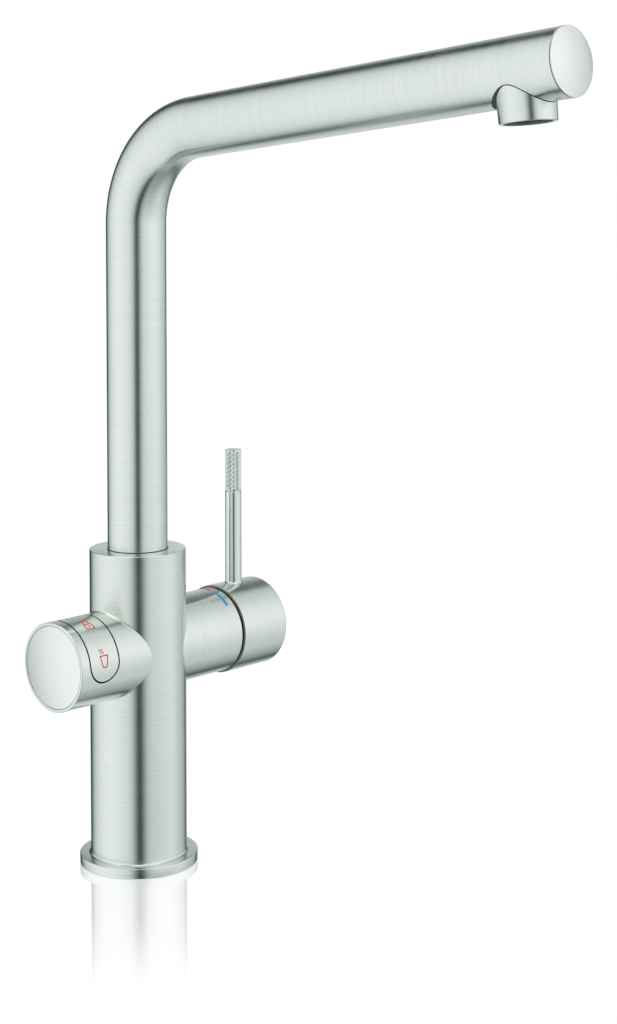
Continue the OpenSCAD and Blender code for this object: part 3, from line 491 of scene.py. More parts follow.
def saddle(side):
    """Ball centres and contacts of the fillet between the column and one arm."""
    s, c = np.sin(turn), np.cos(turn)
    x = side * np.sqrt((COLUMN_R + FILLET) ** 2 - ((ARM_R + FILLET) * s) ** 2)
    centre = np.stack([x, -(ARM_R + FILLET) * s, ARM_Z + (ARM_R + FILLET) * c], 1)
    arm = np.stack([x, -ARM_R * s, ARM_Z + ARM_R * c], 1)
    column = centre.copy()
    column[:, :2] *= COLUMN_R / (COLUMN_R + FILLET)
    return centre, arm, column


def arm_sheet(shell, edge, first, last, x):
    """The arm from its fillet's edge to x, over some steps of its turn."""
    steps = slice(first, last + 1)
    arcs = turn[steps] * ARM_R
    points, normals, grain = on_arm(np.stack([edge[steps], np.stack([0 * arcs + x, arcs], 1)]))
    shell.grid(points, normals, grain)


def join_arm(shell, side):
    """Fillet, the column's half round it, and the arm's sheets."""
    centre, arm, column = saddle(side)
    fillet_strip(shell, centre, arm, column, FILLET, turn * ARM_R)
    loop = np.stack([COLUMN_R * np.arctan2(side * column[:, 1], side * column[:, 0]), column[:, 2]], 1)
    half = COLUMN_R * math.pi / 2
    holed(shell, loop, (-half, JOIN_LOW), (half, JOIN_HIGH), rings=16, lift=on_column(side))
    edge = np.stack([arm[:, 0], turn * ARM_R], 1)
    if side == 1:
        arm_sheet(shell, edge, 0, TURNS, RIGHT_END - RIGHT_ROUND)
        return
    before_patch = TURNS + PATCH_FIRST
    arm_sheet(shell, edge, 0, PATCH_LAST, PATCH_X)
    arm_sheet(shell, edge, PATCH_LAST, before_patch, LEFT_END + END_LIP)
    arm_sheet(shell, edge, before_patch, TURNS, PATCH_X)


def pill(half, r, steps=26):
    """Outline of the key or its window, straight down a prism, at a radius from the arms' axis."""
    span_rad = math.radians(KEY_SPAN)
    out = []
    for side in (1, -1):
        for k in range(steps):
            phi = math.pi * k / steps
            out.append((side * half * math.cos(phi), side * (span_rad + math.asin(half * math.sin(phi) / r)),
                        side * math.cos(phi), side * math.sin(phi)))
        for k in range(steps):
            out.append((-side * half, side * span_rad * (1 - 2 * k / steps), -side, 0.0))
    out.append(out[0])
    x, t, wall_x, wall_t = np.array(out).T
    end = math.radians(KEY_DEG) + np.sign(t) * span_rad
    t = t + math.radians(KEY_DEG)
    radial = np.stack([0 * t, -np.sin(t), np.cos(t)], 1)
    sheet = np.stack([KEY_X + x, t * ARM_R], 1)
    point = np.stack([KEY_X + x, -r * np.sin(t), ARM_Z + r * np.cos(t)], 1)
    wall = np.stack([wall_x, -wall_t * np.cos(end), -wall_t * np.sin(end)], 1)
    return sheet, point, unit(wall), radial


def pill_edge(shell, half, depth, inward, steps=4):
    """Rounded edge and wall of the key (inward 1) or of its window (inward -1), in material 1, which is
    painted shade: the gap's edges and walls are coloured dark.
    """
    rows, normals = [], []
    for k in range(steps + 1):
        a = math.pi / 2 * k / steps
        _, point, wall, radial = pill(half - inward * KEY_EDGE * (1 - math.sin(a)),
                                      ARM_R - KEY_EDGE * (1 - math.cos(a)))
        rows.append(point)
        normals.append(radial * math.cos(a) + inward * wall * math.sin(a))
    _, point, wall, radial = pill(half, ARM_R - depth)
    rows.append(point)
    normals.append(inward * wall)
    along = way_along(rows[0])
    down = np.linspace(0, 1, len(rows))
    grain = np.stack([down[:, None] + 0 * along[None], along[None] + 0 * down[:, None]], 2)
    shell.grid(np.stack(rows), np.stack(normals), grain, mat=1)


def make_body():
    column_foot, top_round, tube_bore, bore_round = PLATE + 0.35, 0.35, 14.25, 0.2
    stem_bore, stem_ledge = 12.1, 143.3
    cartridge_bore, cartridge_ledge = 17.6, 36.0
    cap_bore, cap_ledge, cap_bore_round, left_round = 18.86, -48.9, 0.12, 0.45
    window_depth = 2.75
    body = Shell()
    lathe(body, [(COLUMN_R, column_foot), (COLUMN_R, JOIN_LOW)])
    lathe(body, [(COLUMN_R, JOIN_HIGH), (COLUMN_R, BODY_TOP - top_round)]
          + corner("outer_top", COLUMN_R, BODY_TOP, top_round, 5) + [(tube_bore + bore_round, BODY_TOP)]
          + corner("bore_top", tube_bore, BODY_TOP, bore_round, 3)
          + [(tube_bore, stem_ledge), (stem_bore, stem_ledge)])
    for side in (1, -1):
        join_arm(body, side)
    lathe(body, [(ARM_R, RIGHT_END - RIGHT_ROUND)] + corner("outer_top", ARM_R, RIGHT_END, RIGHT_ROUND, 3)
          + [(cartridge_bore, RIGHT_END), (cartridge_bore, cartridge_ledge)], ARMS)
    lathe(body, [(cap_bore, cap_ledge), (cap_bore, LEFT_END + cap_bore_round)]
          + corner("bore_foot", cap_bore, LEFT_END, cap_bore_round, 3)
          + corner("outer_foot", ARM_R, LEFT_END, left_round, 5) + [(ARM_R, LEFT_END + END_LIP)], ARMS)
    step = 2 * math.pi / TURNS * ARM_R
    window = pill(WINDOW_HALF + KEY_EDGE, ARM_R)[0]
    low, high = (LEFT_END + END_LIP, PATCH_FIRST * step), (PATCH_X, PATCH_LAST * step)
    holed(body, window, low, high, rings=10, lift=on_arm)
    pill_edge(body, WINDOW_HALF, window_depth, -1)
    body.make("body_skin", "tap_frame", [STEEL, GAP_SHADE], "tap_body")


# Rocker key
def make_key():
    wall_depth, rows = 1.65, 16
    key = Shell()
    sheet = pill(KEY_HALF - KEY_EDGE, ARM_R)[0]
    low, high = (math.radians(t) * ARM_R for t in (KEY_DEG - KEY_SPAN, KEY_DEG + KEY_SPAN))
    spine = np.stack([0 * sheet[:, 0] + KEY_X, np.clip(sheet[:, 1], low, high)], 1)
    share = np.linspace(0, 1, rows + 1)[:, None, None]
    key.grid(*on_arm(spine[None] * (1 - share) + sheet[None] * share))
    pill_edge(key, KEY_HALF, wall_depth, 1)
    key.make("key_skin", "rocker_key", [STEEL, GAP_SHADE], "control_key")


# End cap of the left arm
def make_cap():
    edge_round, crown, inset, back = 0.15, 0.12, 0.02, -48.9
    cap = Shell()
    disc(cap, CAP_R - edge_round, LEFT_END + inset, -1, crown, DISC_TILT, ARMS)
    lathe(cap, corner("outer_foot", CAP_R, LEFT_END + inset + crown, edge_round, 3) + [(CAP_R, back)], ARMS)
    cap.make("cap_skin", "tap_frame", [STEEL, FACE_STEEL_WITH_PAINTED_LIGHT], "end_cap")


# Spout tube, swept up, round the bend and out. A way is the length along it from its foot.
RISE = BEND_Z - TUBE_FOOT
CURVE = BEND_R * math.radians(BEND_DEG)
TUBE_LEN = SPOUT_END - 0.62
TUBE_WALL = 1.5
TUBE_END_ROUND = 0.12
TUBE_END_BORE = 12.45


def spine_at(way):
    """Centre, direction across and radius at a way along the spout."""
    if way <= RISE:
        return np.array([0, 0, TUBE_FOOT + way]), np.array([0, 1.0, 0]), TUBE_R
    if way <= RISE + CURVE:
        b = (way - RISE) / BEND_R
        e = np.array([0, math.cos(b), math.sin(b)])
        r = TUBE_R + (SPOUT_R - TUBE_R) * (way - RISE) / CURVE
        return np.array([0, -BEND_R, BEND_Z]) + BEND_R * e, e, r
    return BEND_END + (way - RISE - CURVE) * ALONG, ACROSS, SPOUT_R


def sweep(shell, ways, shrink=0.0, side=1, turns=TUBE_TURNS):
    """The spout's wall along its ways, shrunk by a distance: its outside, or its inside with side -1."""
    angle = circle(turns)
    rows, normals, grain = [], [], []
    for way in ways:
        c, e, r = spine_at(way)
        ray = np.outer(np.cos(angle), [1.0, 0, 0]) + np.outer(np.sin(angle), e)
        rows.append(c + (r - shrink) * ray)
        normals.append(ray * side)
        grain.append(np.stack([0 * angle + way, angle * TUBE_R], 1))
    shell.grid(np.stack(rows), np.stack(normals), np.stack(grain))


def bend_ways(steps):
    return list(np.linspace(RISE, RISE + CURVE, steps + 1))


def make_tube():
    """The tube, with a shallow groove where it enters the body; the groove's walls are painted shade."""
    foot_round, foot_bore = 0.3, 12.5
    groove_low, groove_high, groove_depth, slant = -0.1, 0.3, 0.3, 0.1
    body_way, end_way = BODY_TOP - TUBE_FOOT, RISE + CURVE + TUBE_LEN
    tube = Shell()
    sweep(tube, [foot_round, body_way + groove_low])
    sweep(tube, [body_way + groove_high] + bend_ways(72) + [end_way - TUBE_END_ROUND])
    # Painted shade: the groove's walls take the dark material 1, so it reads as a shadowed slit
    lathe(tube, [(TUBE_R, BODY_TOP + groove_low), (TUBE_R - groove_depth, BODY_TOP + groove_low + slant),
                 (TUBE_R - groove_depth, BODY_TOP + groove_high - slant), (TUBE_R, BODY_TOP + groove_high)],
          UPRIGHT, TUBE_TURNS, mat=1)
    sweep(tube, [0.0] + bend_ways(36) + [end_way], shrink=TUBE_WALL, side=-1, turns=96)
    lathe(tube, [(foot_bore, TUBE_FOOT)] + corner("outer_foot", TUBE_R, TUBE_FOOT, foot_round, 3),
          UPRIGHT, TUBE_TURNS)
    lathe(tube, corner("outer_top", SPOUT_R, TUBE_LEN, TUBE_END_ROUND, 3) + [(TUBE_END_BORE, TUBE_LEN)],
          SPOUT, TUBE_TURNS)
    tube.make("spout_skin", "spout", [STEEL, GAP_SHADE], "spout_tube")


# Spout's end cap
def make_tip():
    plug_depth, neck_r, neck_at = 1.5, 13.7, SPOUT_END - 0.38
    face_r, edge_round = 13.63, 0.22
    tip = Shell()
    # Painted shade: the plug and the step that face the gap between tube and cap take the dark material 2
    lathe(tip, [(TUBE_END_BORE, TUBE_LEN - plug_depth), (TUBE_END_BORE, neck_at), (neck_r, neck_at)],
          SPOUT, TUBE_TURNS, mat=2)
    lathe(tip, [(neck_r, neck_at)] + arc(face_r, SPOUT_END - edge_round, edge_round, -20, 90, 4),
          SPOUT, TUBE_TURNS)
    disc(tip, face_r, SPOUT_END, 1, 0.0, DISC_TILT, SPOUT, TUBE_TURNS, swap=True)
    tip.make("spout_cap_skin", "spout", [STEEL, FACE_STEEL_WITH_PAINTED_LIGHT, GAP_SHADE], "spout_end_cap")


# Outlet collar. It widens upwards at both flanks, and its top edge is a saddle along the tube.
COLLAR_R, COLLAR_BORE, COLLAR_FOOT = 11.6, 9.55, 20.7
FLARE, FLARE_TOP, MOUTH_ROUND = 1.0, 6.5, 0.35
collar_turn = circle(TUBE_TURNS)
collar_ray = np.stack([np.cos(collar_turn), np.sin(collar_turn)], 1)


def tube_height(across, gap):
    """Height of the tube's surface, with a gap, at places across it."""
    return np.sqrt((SPOUT_R + gap) ** 2 - across ** 2)


def flared(r, z):
    """Points of the collar's outside at heights z."""
    share = np.clip((COLLAR_FOOT - z) / (COLLAR_FOOT - FLARE_TOP), 0, 1)
    wide = r + FLARE * collar_ray[:, 0] ** 2 * share
    return np.column_stack([wide[:, None] * collar_ray, z])


def saddle_edge(r, gap):
    """Where the collar's outside meets the tube's surface, found step by step."""
    z = tube_height(r * collar_ray[:, 0], gap)
    rounds = 12
    for _ in range(rounds):
        z = tube_height(flared(r, z)[:, 0], gap)
    return flared(r, z)


def collar_side(collar):
    """Outside with its small edge along the tube. Gives its rows and their grain."""
    # Radius, gap to the tube and how far the normal leans to it
    edge = ((COLLAR_R - 0.15, 0.22, 0.8), (COLLAR_R - 0.05, 0.27, 0.35), (COLLAR_R, 0.38, 0.0))
    foot_round = 0.25
    slant = FLARE * collar_ray[:, 0] ** 2 / (COLLAR_FOOT - FLARE_TOP)
    arcs = collar_turn * COLLAR_R
    rows, normals, grain = [], [], []
    for r, gap, lean in edge:
        rows.append(saddle_edge(r, gap))
        normals.append(np.column_stack([collar_ray, slant - lean]))
        grain.append(np.stack([rows[-1][:, 2], arcs], 1))
    rows.append(flared(COLLAR_R, 0 * arcs + COLLAR_FOOT - foot_round))
    normals.append(normals[-1])
    grain.append(np.stack([0 * arcs + COLLAR_FOOT, arcs], 1))
    collar.grid(np.stack(rows), np.stack(normals), np.stack(grain), OUTLET)
    lathe(collar, corner("outer_top", COLLAR_R, COLLAR_FOOT, foot_round, 4)
          + [(COLLAR_BORE + MOUTH_ROUND, COLLAR_FOOT)], OUTLET, TUBE_TURNS)
    return rows, grain


def collar_gap_shade(collar, grain):
    """Painted shade on the tube: a dark strip along the collar's edge, which widens to a crescent towards the
    column.
    """
    crescent, least, proud, inset, gap = 2.5, 0.1, 0.04, 0.2, 0.05
    edge = saddle_edge(COLLAR_R - inset, gap)[:, :2]
    wide = least + crescent * np.maximum(0, -collar_ray[:, 1]) ** 1.5
    far = edge + wide[:, None] * collar_ray
    rim = [np.column_stack([q, tube_height(q[:, 0], proud)]) for q in (edge, edge * 0.5 + far * 0.5, far)]
    normals = [q * [1, 0, 1] for q in rim]
    collar.grid(np.stack(rim), np.stack(normals), np.stack(grain[:3]), OUTLET, mat=1)


def make_collar():
    bore_top, gap = 9.0, 0.12
    collar = Shell()
    rows, grain = collar_side(collar)
    collar_gap_shade(collar, grain)
    bore = COLLAR_BORE * collar_ray
    lip = np.stack([rows[0], np.column_stack([bore, tube_height(bore[:, 0], gap)])])
    down = np.broadcast_to([0.0, 0.0, -1.0], lip.shape)
    # Painted shade: the lip under the collar's edge, against the tube, takes the dark material 1
    collar.grid(lip, down, np.stack([grain[0], grain[-1]]), OUTLET, mat=1)
    lathe(collar, corner("bore_top", COLLAR_BORE, COLLAR_FOOT, MOUTH_ROUND, 4) + [(COLLAR_BORE, bore_top)],
          OUTLET, TUBE_TURNS, mat=2)
    collar.make("collar_skin", "spout", [STEEL, GAP_SHADE, LINER], "outlet_collar")


# Lever hub, hollow at the arm's side, with the grub screw's hole below
HUB_ROUND, HUB_LIP = 1.3, 0.2
SCREW_X, SCREW_R, SCREW_MOUTH_R, SCREW_DEPTH = 65.05, 2.52, 2.64, 6.0
# Steps of the turn between which the hub's sheet has the hole
SCREW_FIRST, SCREW_LAST = 100, 140


def screw_hole(hub):
    """Sheet with the hole, and the hole's chamfered wall."""
    phi = circle(80)
    across = math.pi + np.arcsin(SCREW_MOUTH_R * np.sin(phi) / HUB_R)
    loop = np.stack([SCREW_X + SCREW_MOUTH_R * np.cos(phi), HUB_R * across], 1)
    low = (HUB_X + HUB_LIP, turn[SCREW_FIRST] * HUB_R)
    high = (HUB_END - HUB_ROUND, turn[SCREW_LAST] * HUB_R)
    holed(hub, loop, low, high, rings=8, lift=on_hub)
    inward = -np.stack([np.cos(phi), np.sin(phi), 0 * phi], 1)
    # Radius, depth below the surface and how far the normal leans out of the hole
    wall = ((SCREW_MOUTH_R, 0.0, 1.5), (SCREW_R + 0.04, 0.05, 0.8), (SCREW_R, 0.14, 0.0),
            (SCREW_R, SCREW_DEPTH, 0.0))
    rows, normals, grain = [], [], []
    for r, depth, lean in wall:
        y = r * np.sin(phi)
        normals.append(inward + [0, 0, -lean])
        grain.append(np.stack([0 * phi + len(rows), phi * SCREW_R], 1))
        rows.append(np.stack([SCREW_X + r * np.cos(phi), y, ARM_Z - np.sqrt(HUB_R ** 2 - y ** 2) + depth], 1))
    hub.grid(np.stack(rows), np.stack(normals), np.stack(grain))


def make_hub():
    hollow_r, chamfer, face_r, edge_round = 25.13, 0.15, HUB_R - 0.12, 0.1
    hub = Shell()
    rim = math.acos((HUB_X + chamfer - LEVER_X) / hollow_r)
    hollow = [(hollow_r * math.sin(a), LEVER_X + hollow_r * math.cos(a)) for a in np.linspace(0, rim, 30)]
    # Painted shade: the hollow, its chamfer and the end face towards the arm take material 1, a flat grey in
    # place of the shaded steel seen in the gap
    lathe(hub, hollow + [(hollow[-1][0] + chamfer, HUB_X), (face_r, HUB_X)], ARMS, mat=1)
    lathe(hub, [(face_r, HUB_X)] + arc(HUB_R - edge_round, HUB_X + edge_round, edge_round, -80, 0, 3)
          + [(HUB_R, HUB_X + HUB_LIP)], ARMS)
    lathe(hub, corner("outer_top", HUB_R, HUB_END, HUB_ROUND, 10) + [(0.0, HUB_END)], ARMS)
    for first, last in ((0, SCREW_FIRST), (SCREW_LAST, TURNS)):
        t = turn[first:last + 1] * HUB_R
        ends = [np.stack([0 * t + x, t], 1) for x in (HUB_X + HUB_LIP, HUB_END - HUB_ROUND)]
        hub.grid(*on_hub(np.stack(ends)))
    screw_hole(hub)
    hub.make("hub_skin", "lever", [STEEL, SLEEVE_AND_GAP_SHADE], "lever_hub")


# Rod, with the small fillet at its foot and the narrow neck below the grip
NECK_R = 3.5


def make_rod():
    rounding, chamfer_r = 1.0, 3.85
    shoulder, chamfer, neck_low, neck_high = (GRIP_FOOT + h for h in (-0.3, -0.15, -0.1, 0.4))
    rod = Shell()
    angle = circle(ROD_TURNS)
    c, s = np.cos(angle), np.sin(angle)
    y = (ROD_R + rounding) * s
    z = ARM_Z + np.sqrt((HUB_R + rounding) ** 2 - y ** 2)
    centre = np.stack([ROD_X + (ROD_R + rounding) * c, y, z], 1)
    foot = np.stack([ROD_X + ROD_R * c, ROD_R * s, z], 1)
    shrink = HUB_R / (HUB_R + rounding)
    hub_line = np.stack([centre[:, 0], y * shrink, ARM_Z + (z - ARM_Z) * shrink], 1)
    fillet_strip(rod, centre, foot, hub_line, rounding, angle * ROD_R, steps=6)
    top = foot.copy()
    top[:, 2] = shoulder
    out = np.stack([c, s, 0 * angle], 1)
    grain = [np.stack([row[:, 2], angle * ROD_R], 1) for row in (foot, top)]
    rod.grid(np.stack([foot, top]), np.stack([out, out]), np.stack(grain))
    neck = [(ROD_R, shoulder), (chamfer_r, chamfer), (NECK_R, neck_low), (NECK_R, neck_high)]
    lathe(rod, neck, ROD, ROD_TURNS)
    rod.make("rod_skin", "lever", [STEEL], "lever_rod")


# Knurled grip: truncated pyramids between grooves of both hands
KNURLS_ROUND, KNURL_ROWS = 18, 9
GROOVE, CREST = 0.22, 0.3
KNURL_FOOT, KNURL_TOP = GRIP_FOOT + 0.25, ROD_TIP - 0.3
GROOVE_R = ROD_R - GROOVE


def knurl_point(i, k, r):
    """Point at half steps i round the grip and k up it."""
    a = math.pi * i / KNURLS_ROUND
    z = KNURL_FOOT + (KNURL_TOP - KNURL_FOOT) * k / (2 * KNURL_ROWS)
    return (ROD_X + r * math.cos(a), r * math.sin(a), z)


def knurl(i, k):
    """Crest and four flanks of one pyramid."""
    around = ((1, 0), (0, 1), (-1, 0), (0, -1))
    rim = [knurl_point(i + right, k + up, GROOVE_R) for right, up in around]
    crest = [knurl_point(i + CREST * right, k + CREST * up, ROD_R) for right, up in around]
    return [crest] + [[rim[n], rim[(n + 1) % 4], crest[(n + 1) % 4], crest[n]] for n in range(4)]


def knurl_grain(quad):
    """Brush marks that run a little differently on each facet."""
    return [(p[2], 0.7 * math.atan2(p[1], p[0] - ROD_X) + 0.3 * n) for n, p in enumerate(quad)]


def knurling():
    """All facets and their grain: pyramids on every second half step, and flat triangles at both ends."""
    quads, marks = [], []
    for k in range(2 * KNURL_ROWS + 1):
        for i in range((k + 1) % 2, 2 * KNURLS_ROUND, 2):
            if 0 < k < 2 * KNURL_ROWS:
                facets = knurl(i, k)
                quads += facets
                marks += [knurl_grain(quad) for quad in facets]
                continue
            tip = knurl_point(i, 1 if k == 0 else k - 1, GROOVE_R)
            quads.append([knurl_point(i - 1, k, GROOVE_R), knurl_point(i + 1, k, GROOVE_R), tip, tip])
            marks.append([(p[2], i) for p in quads[-1]])
    return np.array(quads), np.array(marks, float)


def make_grip():
    foot_r, foot_chamfer, top_r, top_round, top_step = 3.85, 0.1, 3.92, 0.15, 0.02
    grip = Shell()
    grip.facets(*knurling(), (ROD_X, 0))
    lathe(grip, [(NECK_R, GRIP_FOOT), (foot_r - foot_chamfer, GRIP_FOOT), (foot_r, GRIP_FOOT + foot_chamfer),
                 (foot_r, KNURL_FOOT), (GROOVE_R, KNURL_FOOT)], ROD, ROD_TURNS)
    lathe(grip, [(GROOVE_R, KNURL_TOP), (top_r, KNURL_TOP + top_step)]
          + corner("outer_top", top_r, ROD_TIP, top_round, 4) + [(0.0, ROD_TIP)], ROD, ROD_TURNS)
    grip.make("grip_skin", "lever", [STEEL], "lever_grip")


# Signs and marks: thin enamel ribbons on the arms
PROUD, RIBBON_STEP, STROKE = 0.045, 0.5, 0.58


def ribbon_path(path, closed):
    """The path in short steps, so that a ribbon follows the curved surface."""
    corners = np.array(list(path) + (list(path[:1]) if closed else []), float)
    points = []
    for a, b in zip(corners[:-1], corners[1:]):
        count = max(1, math.ceil(np.linalg.norm(b - a) / RIBBON_STEP))
        points += [a + (b - a) * k / count for k in range(count)]
    return np.array(points if closed else points + [corners[-1]])


def ribbon(shell, path, width, closed=False):
    """Ribbon along a path of sheet coordinates: its face, both sides and its ends."""
    least_share = 0.5
    p = ribbon_path(path, closed)
    if closed:
        before, after = np.roll(p, 1, 0), np.roll(p, -1, 0)
    else:
        before = np.vstack([2 * p[0] - p[1], p[:-1]])
        after = np.vstack([p[1:], 2 * p[-1] - p[-2]])
    d0, d1 = unit(p - before), unit(after - p)
    side = unit(np.stack([-(d0 + d1)[:, 1], (d0 + d1)[:, 0]], 1))
    share = np.sum(side * np.stack([-d0[:, 1], d0[:, 0]], 1), 1)
    wide = width / 2 / np.maximum(least_share, share)[:, None]
    left, right = p + side * wide, p - side * wide
    if closed:
        left, right, side = (np.vstack([a, a[:1]]) for a in (left, right, side))
    lp, ln, _ = on_arm(left)
    rp, rn, _ = on_arm(right)
    tang = np.stack([0 * side[:, 0], -ln[:, 2], ln[:, 1]], 1)
    lateral = side[:, :1] * np.array([[1.0, 0, 0]]) + side[:, 1:] * tang
    grain = np.stack([left, right])
    shell.grid(np.stack([lp + PROUD * ln, rp + PROUD * rn]), np.stack([ln, rn]), grain)
    shell.grid(np.stack([lp - PROUD * ln, lp + PROUD * ln]), np.stack([lateral, lateral]), grain)
    shell.grid(np.stack([rp + PROUD * rn, rp - PROUD * rn]), np.stack([-lateral, -lateral]), grain)
    if closed:
        return
    for k, way in ((0, -1.0), (-1, 1.0)):
        out = way * (d0[k, 0] * np.array([1.0, 0, 0]) + d0[k, 1] * tang[k])
        end = np.array([[lp[k] + h * ln[k], rp[k] + h * rn[k]] for h in (-PROUD, PROUD)])
        end_grain = np.array([[left[k] + h, right[k] + h] for h in (0, 0.05)])
        shell.grid(end, np.broadcast_to(out, end.shape).copy(), end_grain)


def make_lock():
    """Closed lock on the key's upper end: case, shackle and keyhole."""
    left, right, low, high, rounding = KEY_X - 1.5, KEY_X + 1.7, 8.5, 10.9, 0.5
    shackle_r, shackle_foot, shackle_top = 1.3, 7.9, 6.3
    keyhole = [(KEY_X + 0.1, 9.1), (KEY_X + 0.1, 10.35)]
    case = []
    for x, y, start in ((left, low, 180), (right, low, 270), (right, high, 0), (left, high, 90)):
        case += arc(x, y, rounding, start, start + 90, 4)
    shackle = [(KEY_X - shackle_r, shackle_foot), (KEY_X - shackle_r, shackle_top)]
    shackle += arc(KEY_X, shackle_top - 0.1, shackle_r, 180, 360, 12)
    shackle += [(KEY_X + shackle_r, shackle_top), (KEY_X + shackle_r, shackle_foot)]
    lock = Shell()
    ribbon(lock, case, STROKE, True)
    ribbon(lock, shackle, STROKE)
    ribbon(lock, keyhole, STROKE * 1.1)
    lock.make("lock_sign", "rocker_key", [RED])


def make_cup():
    """Steaming cup on the key's lower end."""
    rim, rim_half, top_half, foot_half, foot, rounding = 25.45, 2.35, 2.1, 1.3, 29.9, 0.7
    steam_at, steam_foot, steam_step, swing = (KEY_X - 1.5, KEY_X - 0.2), 24.6, 0.30, 0.28
    corner_x = foot_half - rounding
    side = [(KEY_X - top_half, rim), (KEY_X - foot_half, foot)]
    side += arc(KEY_X - corner_x, foot, rounding, 170, 90, 4)
    side += arc(KEY_X + corner_x, foot, rounding, 90, 10, 4)
    side += [(KEY_X + foot_half, foot), (KEY_X + top_half, rim)]
    cup = Shell()
    ribbon(cup, [(KEY_X - rim_half, rim), (KEY_X + rim_half, rim)], STROKE)
    ribbon(cup, side, STROKE)
    for x in steam_at:
        steam = [(x + swing * math.sin(math.radians(k * 45)), steam_foot - steam_step * k) for k in range(9)]
        ribbon(cup, steam, STROKE * 0.8)
    cup.make("cup_sign", "rocker_key", [RED])


def make_marks():
    """Hot and cold mark at the right arm's end, each from one angle to another."""
    mark_x, steps = 44.8, 12
    marks = (("hot_mark", RED, -34, 8, 2.0), ("cold_mark", BLUE, 18.5, 44.5, 1.6))
    for name, material, first, last, wide in marks:
        mark = Shell()
        angles = [math.radians(first + (last - first) * k / steps) for k in range(steps + 1)]
        ribbon(mark, [(mark_x, a * ARM_R) for a in angles], wide)
        mark.make(name, "tap_frame", [material])


# Floor: white to the camera, with the tap's soft shadow and mirror image near its foot
def floor_material():
    mirror_near, mirror_far, mirror_most, mirror_gain = 0.06, 0.16, 0.37, 1.13
    shadow_share, lit, spare = 0.12, 0.80, 0.01
    m = bpy.data.materials.new("pale_floor")
    m.use_nodes = True
    t = m.node_tree
    t.nodes.clear()
    away = add(t, "ShaderNodeVectorMath", {"operation": "LENGTH"}, i0=object_place(t)).outputs["Value"]
    mirror = span(t, away, mirror_near, mirror_far, mirror_most, 0.0, True)
    left_white = math_node(t, "SUBTRACT", 1.0 - shadow_share * lit + spare, mirror)
    white = add(t, "ShaderNodeEmission", Color=(1, 1, 1), Strength=left_white)
    shade = add(t, "ShaderNodeBsdfDiffuse", Color=(shadow_share, shadow_share, shadow_share))
    shine = math_node(t, "MULTIPLY", mirror, mirror_gain)
    gloss = add(t, "ShaderNodeBsdfAnisotropic", Color=rgb(t, shine, shine, shine), Roughness=0.0)
    matt = add(t, "ShaderNodeAddShader", i0=white.outputs[0], i1=shade.outputs[0])
    seen = add(t, "ShaderNodeAddShader", i0=matt.outputs[0], i1=gloss.outputs[0])
    plain = add(t, "ShaderNodeBsdfDiffuse", Color=(0.82, 0.82, 0.82))
    path = add(t, "ShaderNodeLightPath")
    to_camera = path.outputs["Is Camera Ray"]
    pick = add(t, "ShaderNodeMixShader", i0=to_camera, i1=plain.outputs[0], i2=seen.outputs[0])
    add(t, "ShaderNodeOutputMaterial", Surface=pick.outputs[0])
    return m


def make_floor():
    half, below = 4, 0.0001
    mesh = bpy.data.meshes.new("floor")
    corners = [(-half, -half, 0), (half, -half, 0), (half, half, 0), (-half, half, 0)]
    mesh.from_pydata(corners, [], [(0, 1, 2, 3)])
    mesh.materials.append(floor_material())
    floor = bpy.data.objects.new("floor", mesh)
    floor.location.z = -below
    floor.visible_glossy = False
    floor.visible_shadow = False
    bpy.context.scene.collection.objects.link(floor)


# Studio: white backdrop, and a soft tent of light with panels and dark flags for the metal to show
FILL, LEAST, OVERHEAD = 0.27, 0.02, (1.5, 1.5, 1.5)
RED_POWER, BLUE_POWER = 1.11, 1.055
# Each panel's azimuth from the front, height, half width and half height in degrees, and its change of light
PANELS = (
    (-118, 0, 72, 400, 0.72),      # wide wall on the left
    (28, 21, 78, 55, 0.76),        # large panel in front
    (22, 2, 30, 14, 0.09),         # its brighter middle
    (-40, 40, 14.5, 160, -0.76),   # upright flag between the two, the dark stripe of every tube
    (139, -14, 18, 50, 0.60),      # panel behind, to the right
    (157, 30, 23, 120, -0.52),     # flag behind
    (163, 10, 13, 120, -0.18),     # its darker middle
    (123, 35, 15, 13, -0.30),      # flag above the panel behind
    (109, 0, 11, 90, -0.39),       # flag on the right
    (51, -41, 31, 16, 0.27),       # light from the worktop
    (48, -17, 17, 9, 0.10),        # and from its far edge
)


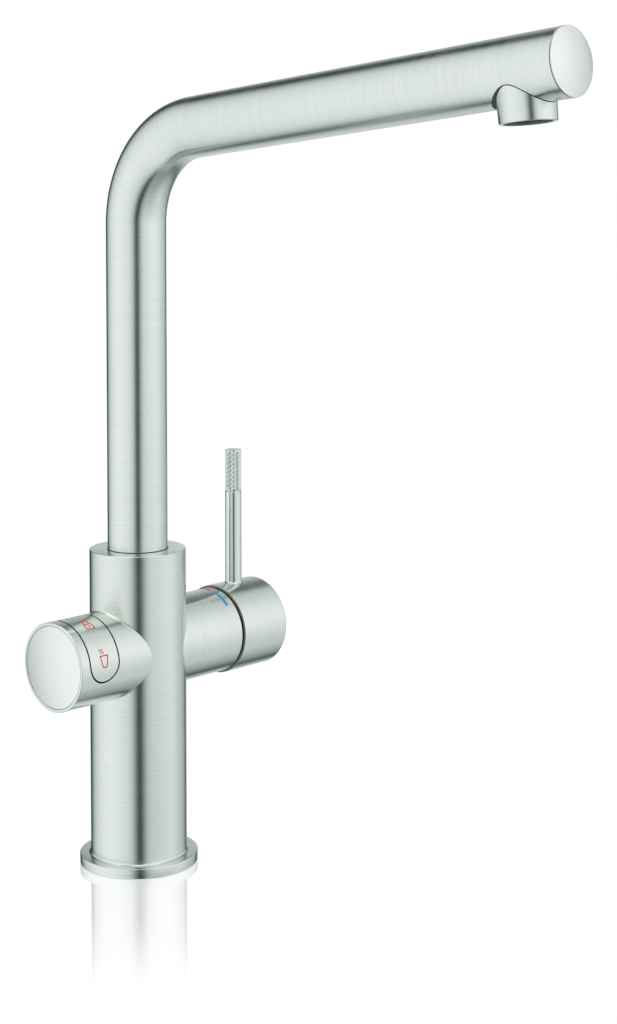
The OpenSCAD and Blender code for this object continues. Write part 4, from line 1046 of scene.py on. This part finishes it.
def tent_light(t, ray):
    """Light of the tent in a direction. Its dark parts are slightly green."""
    azimuth = math_node(t, "ARCTAN2", ray.outputs[0], math_node(t, "MULTIPLY", ray.outputs[1], -1.0))
    height = math_node(t, "ARCSINE", ray.outputs[2])
    light = FILL
    for at, up, wide, tall, change in PANELS:
        off = math_node(t, "WRAP", math_node(t, "SUBTRACT", azimuth, math.radians(at)), math.pi, -math.pi)
        off = math_node(t, "DIVIDE", off, math.radians(wide))
        across = math_node(t, "MULTIPLY", off, off)
        rise = math_node(t, "DIVIDE", math_node(t, "SUBTRACT", height, math.radians(up)), math.radians(tall))
        away = math_node(t, "MULTIPLY_ADD", rise, rise, across)
        soft = math_node(t, "EXPONENT", math_node(t, "MULTIPLY", away, -1.0))
        light = math_node(t, "MULTIPLY_ADD", soft, change, light)
    light = math_node(t, "MAXIMUM", light, LEAST)
    # Overhead begins at the first of two upward shares of the direction, and is full at the second
    begins, full = 0.80, 0.95
    tinted = rgb(t, math_node(t, "POWER", light, RED_POWER), light, math_node(t, "POWER", light, BLUE_POWER))
    overhead = span(t, ray.outputs[2], begins, full, 0.0, 1.0, True)
    return blend(t, overhead, tinted, OVERHEAD)


def make_studio():
    world = bpy.data.worlds.new("studio")
    bpy.context.scene.world = world
    world.use_nodes = True
    t = world.node_tree
    t.nodes.clear()
    ray = add(t, "ShaderNodeSeparateXYZ", Vector=add(t, "ShaderNodeTexCoord").outputs["Generated"])
    path = add(t, "ShaderNodeLightPath")
    sharp = math_node(t, "MULTIPLY", path.outputs["Is Glossy Ray"], path.outputs["Is Singular Ray"])
    through = math_node(t, "MAXIMUM", path.outputs["Is Camera Ray"], path.outputs["Is Transmission Ray"])
    colour = blend(t, math_node(t, "MAXIMUM", through, sharp), tent_light(t, ray), (1, 1, 1))
    back = add(t, "ShaderNodeBackground", Color=colour, Strength=1.0)
    add(t, "ShaderNodeOutputWorld", Surface=back.outputs[0])


# Camera, from the fit to the photograph: place in metres, angles in degrees, the rest as shares of the frame
CAMERA_AT = (-0.60862, -0.67559, 0.32318)
PITCH, YAW = 2.753, 47.923
LENS, SENSOR = 68.483, 36
SHIFT_X, SHIFT_Y = -0.02847, -0.24


def make_camera():
    cam = bpy.data.objects.new("camera", bpy.data.cameras.new("camera"))
    bpy.context.scene.collection.objects.link(cam)
    cam.location = CAMERA_AT
    cam.rotation_euler = (math.radians(90 - PITCH), 0, math.radians(-YAW))
    cam.data.lens, cam.data.sensor_width = LENS, SENSOR
    cam.data.shift_x, cam.data.shift_y = SHIFT_X, SHIFT_Y
    cam.data.clip_start, cam.data.clip_end = 0.01, 50
    bpy.context.scene.camera = cam
    bpy.context.scene.view_settings.view_transform = "Standard"


finish_nodes()
for make in (make_flange, make_body, make_key, make_cap, make_tube, make_tip, make_collar, make_hub, make_rod,
             make_grip, make_lock, make_cup, make_marks, make_floor, make_studio, make_camera):
    make()
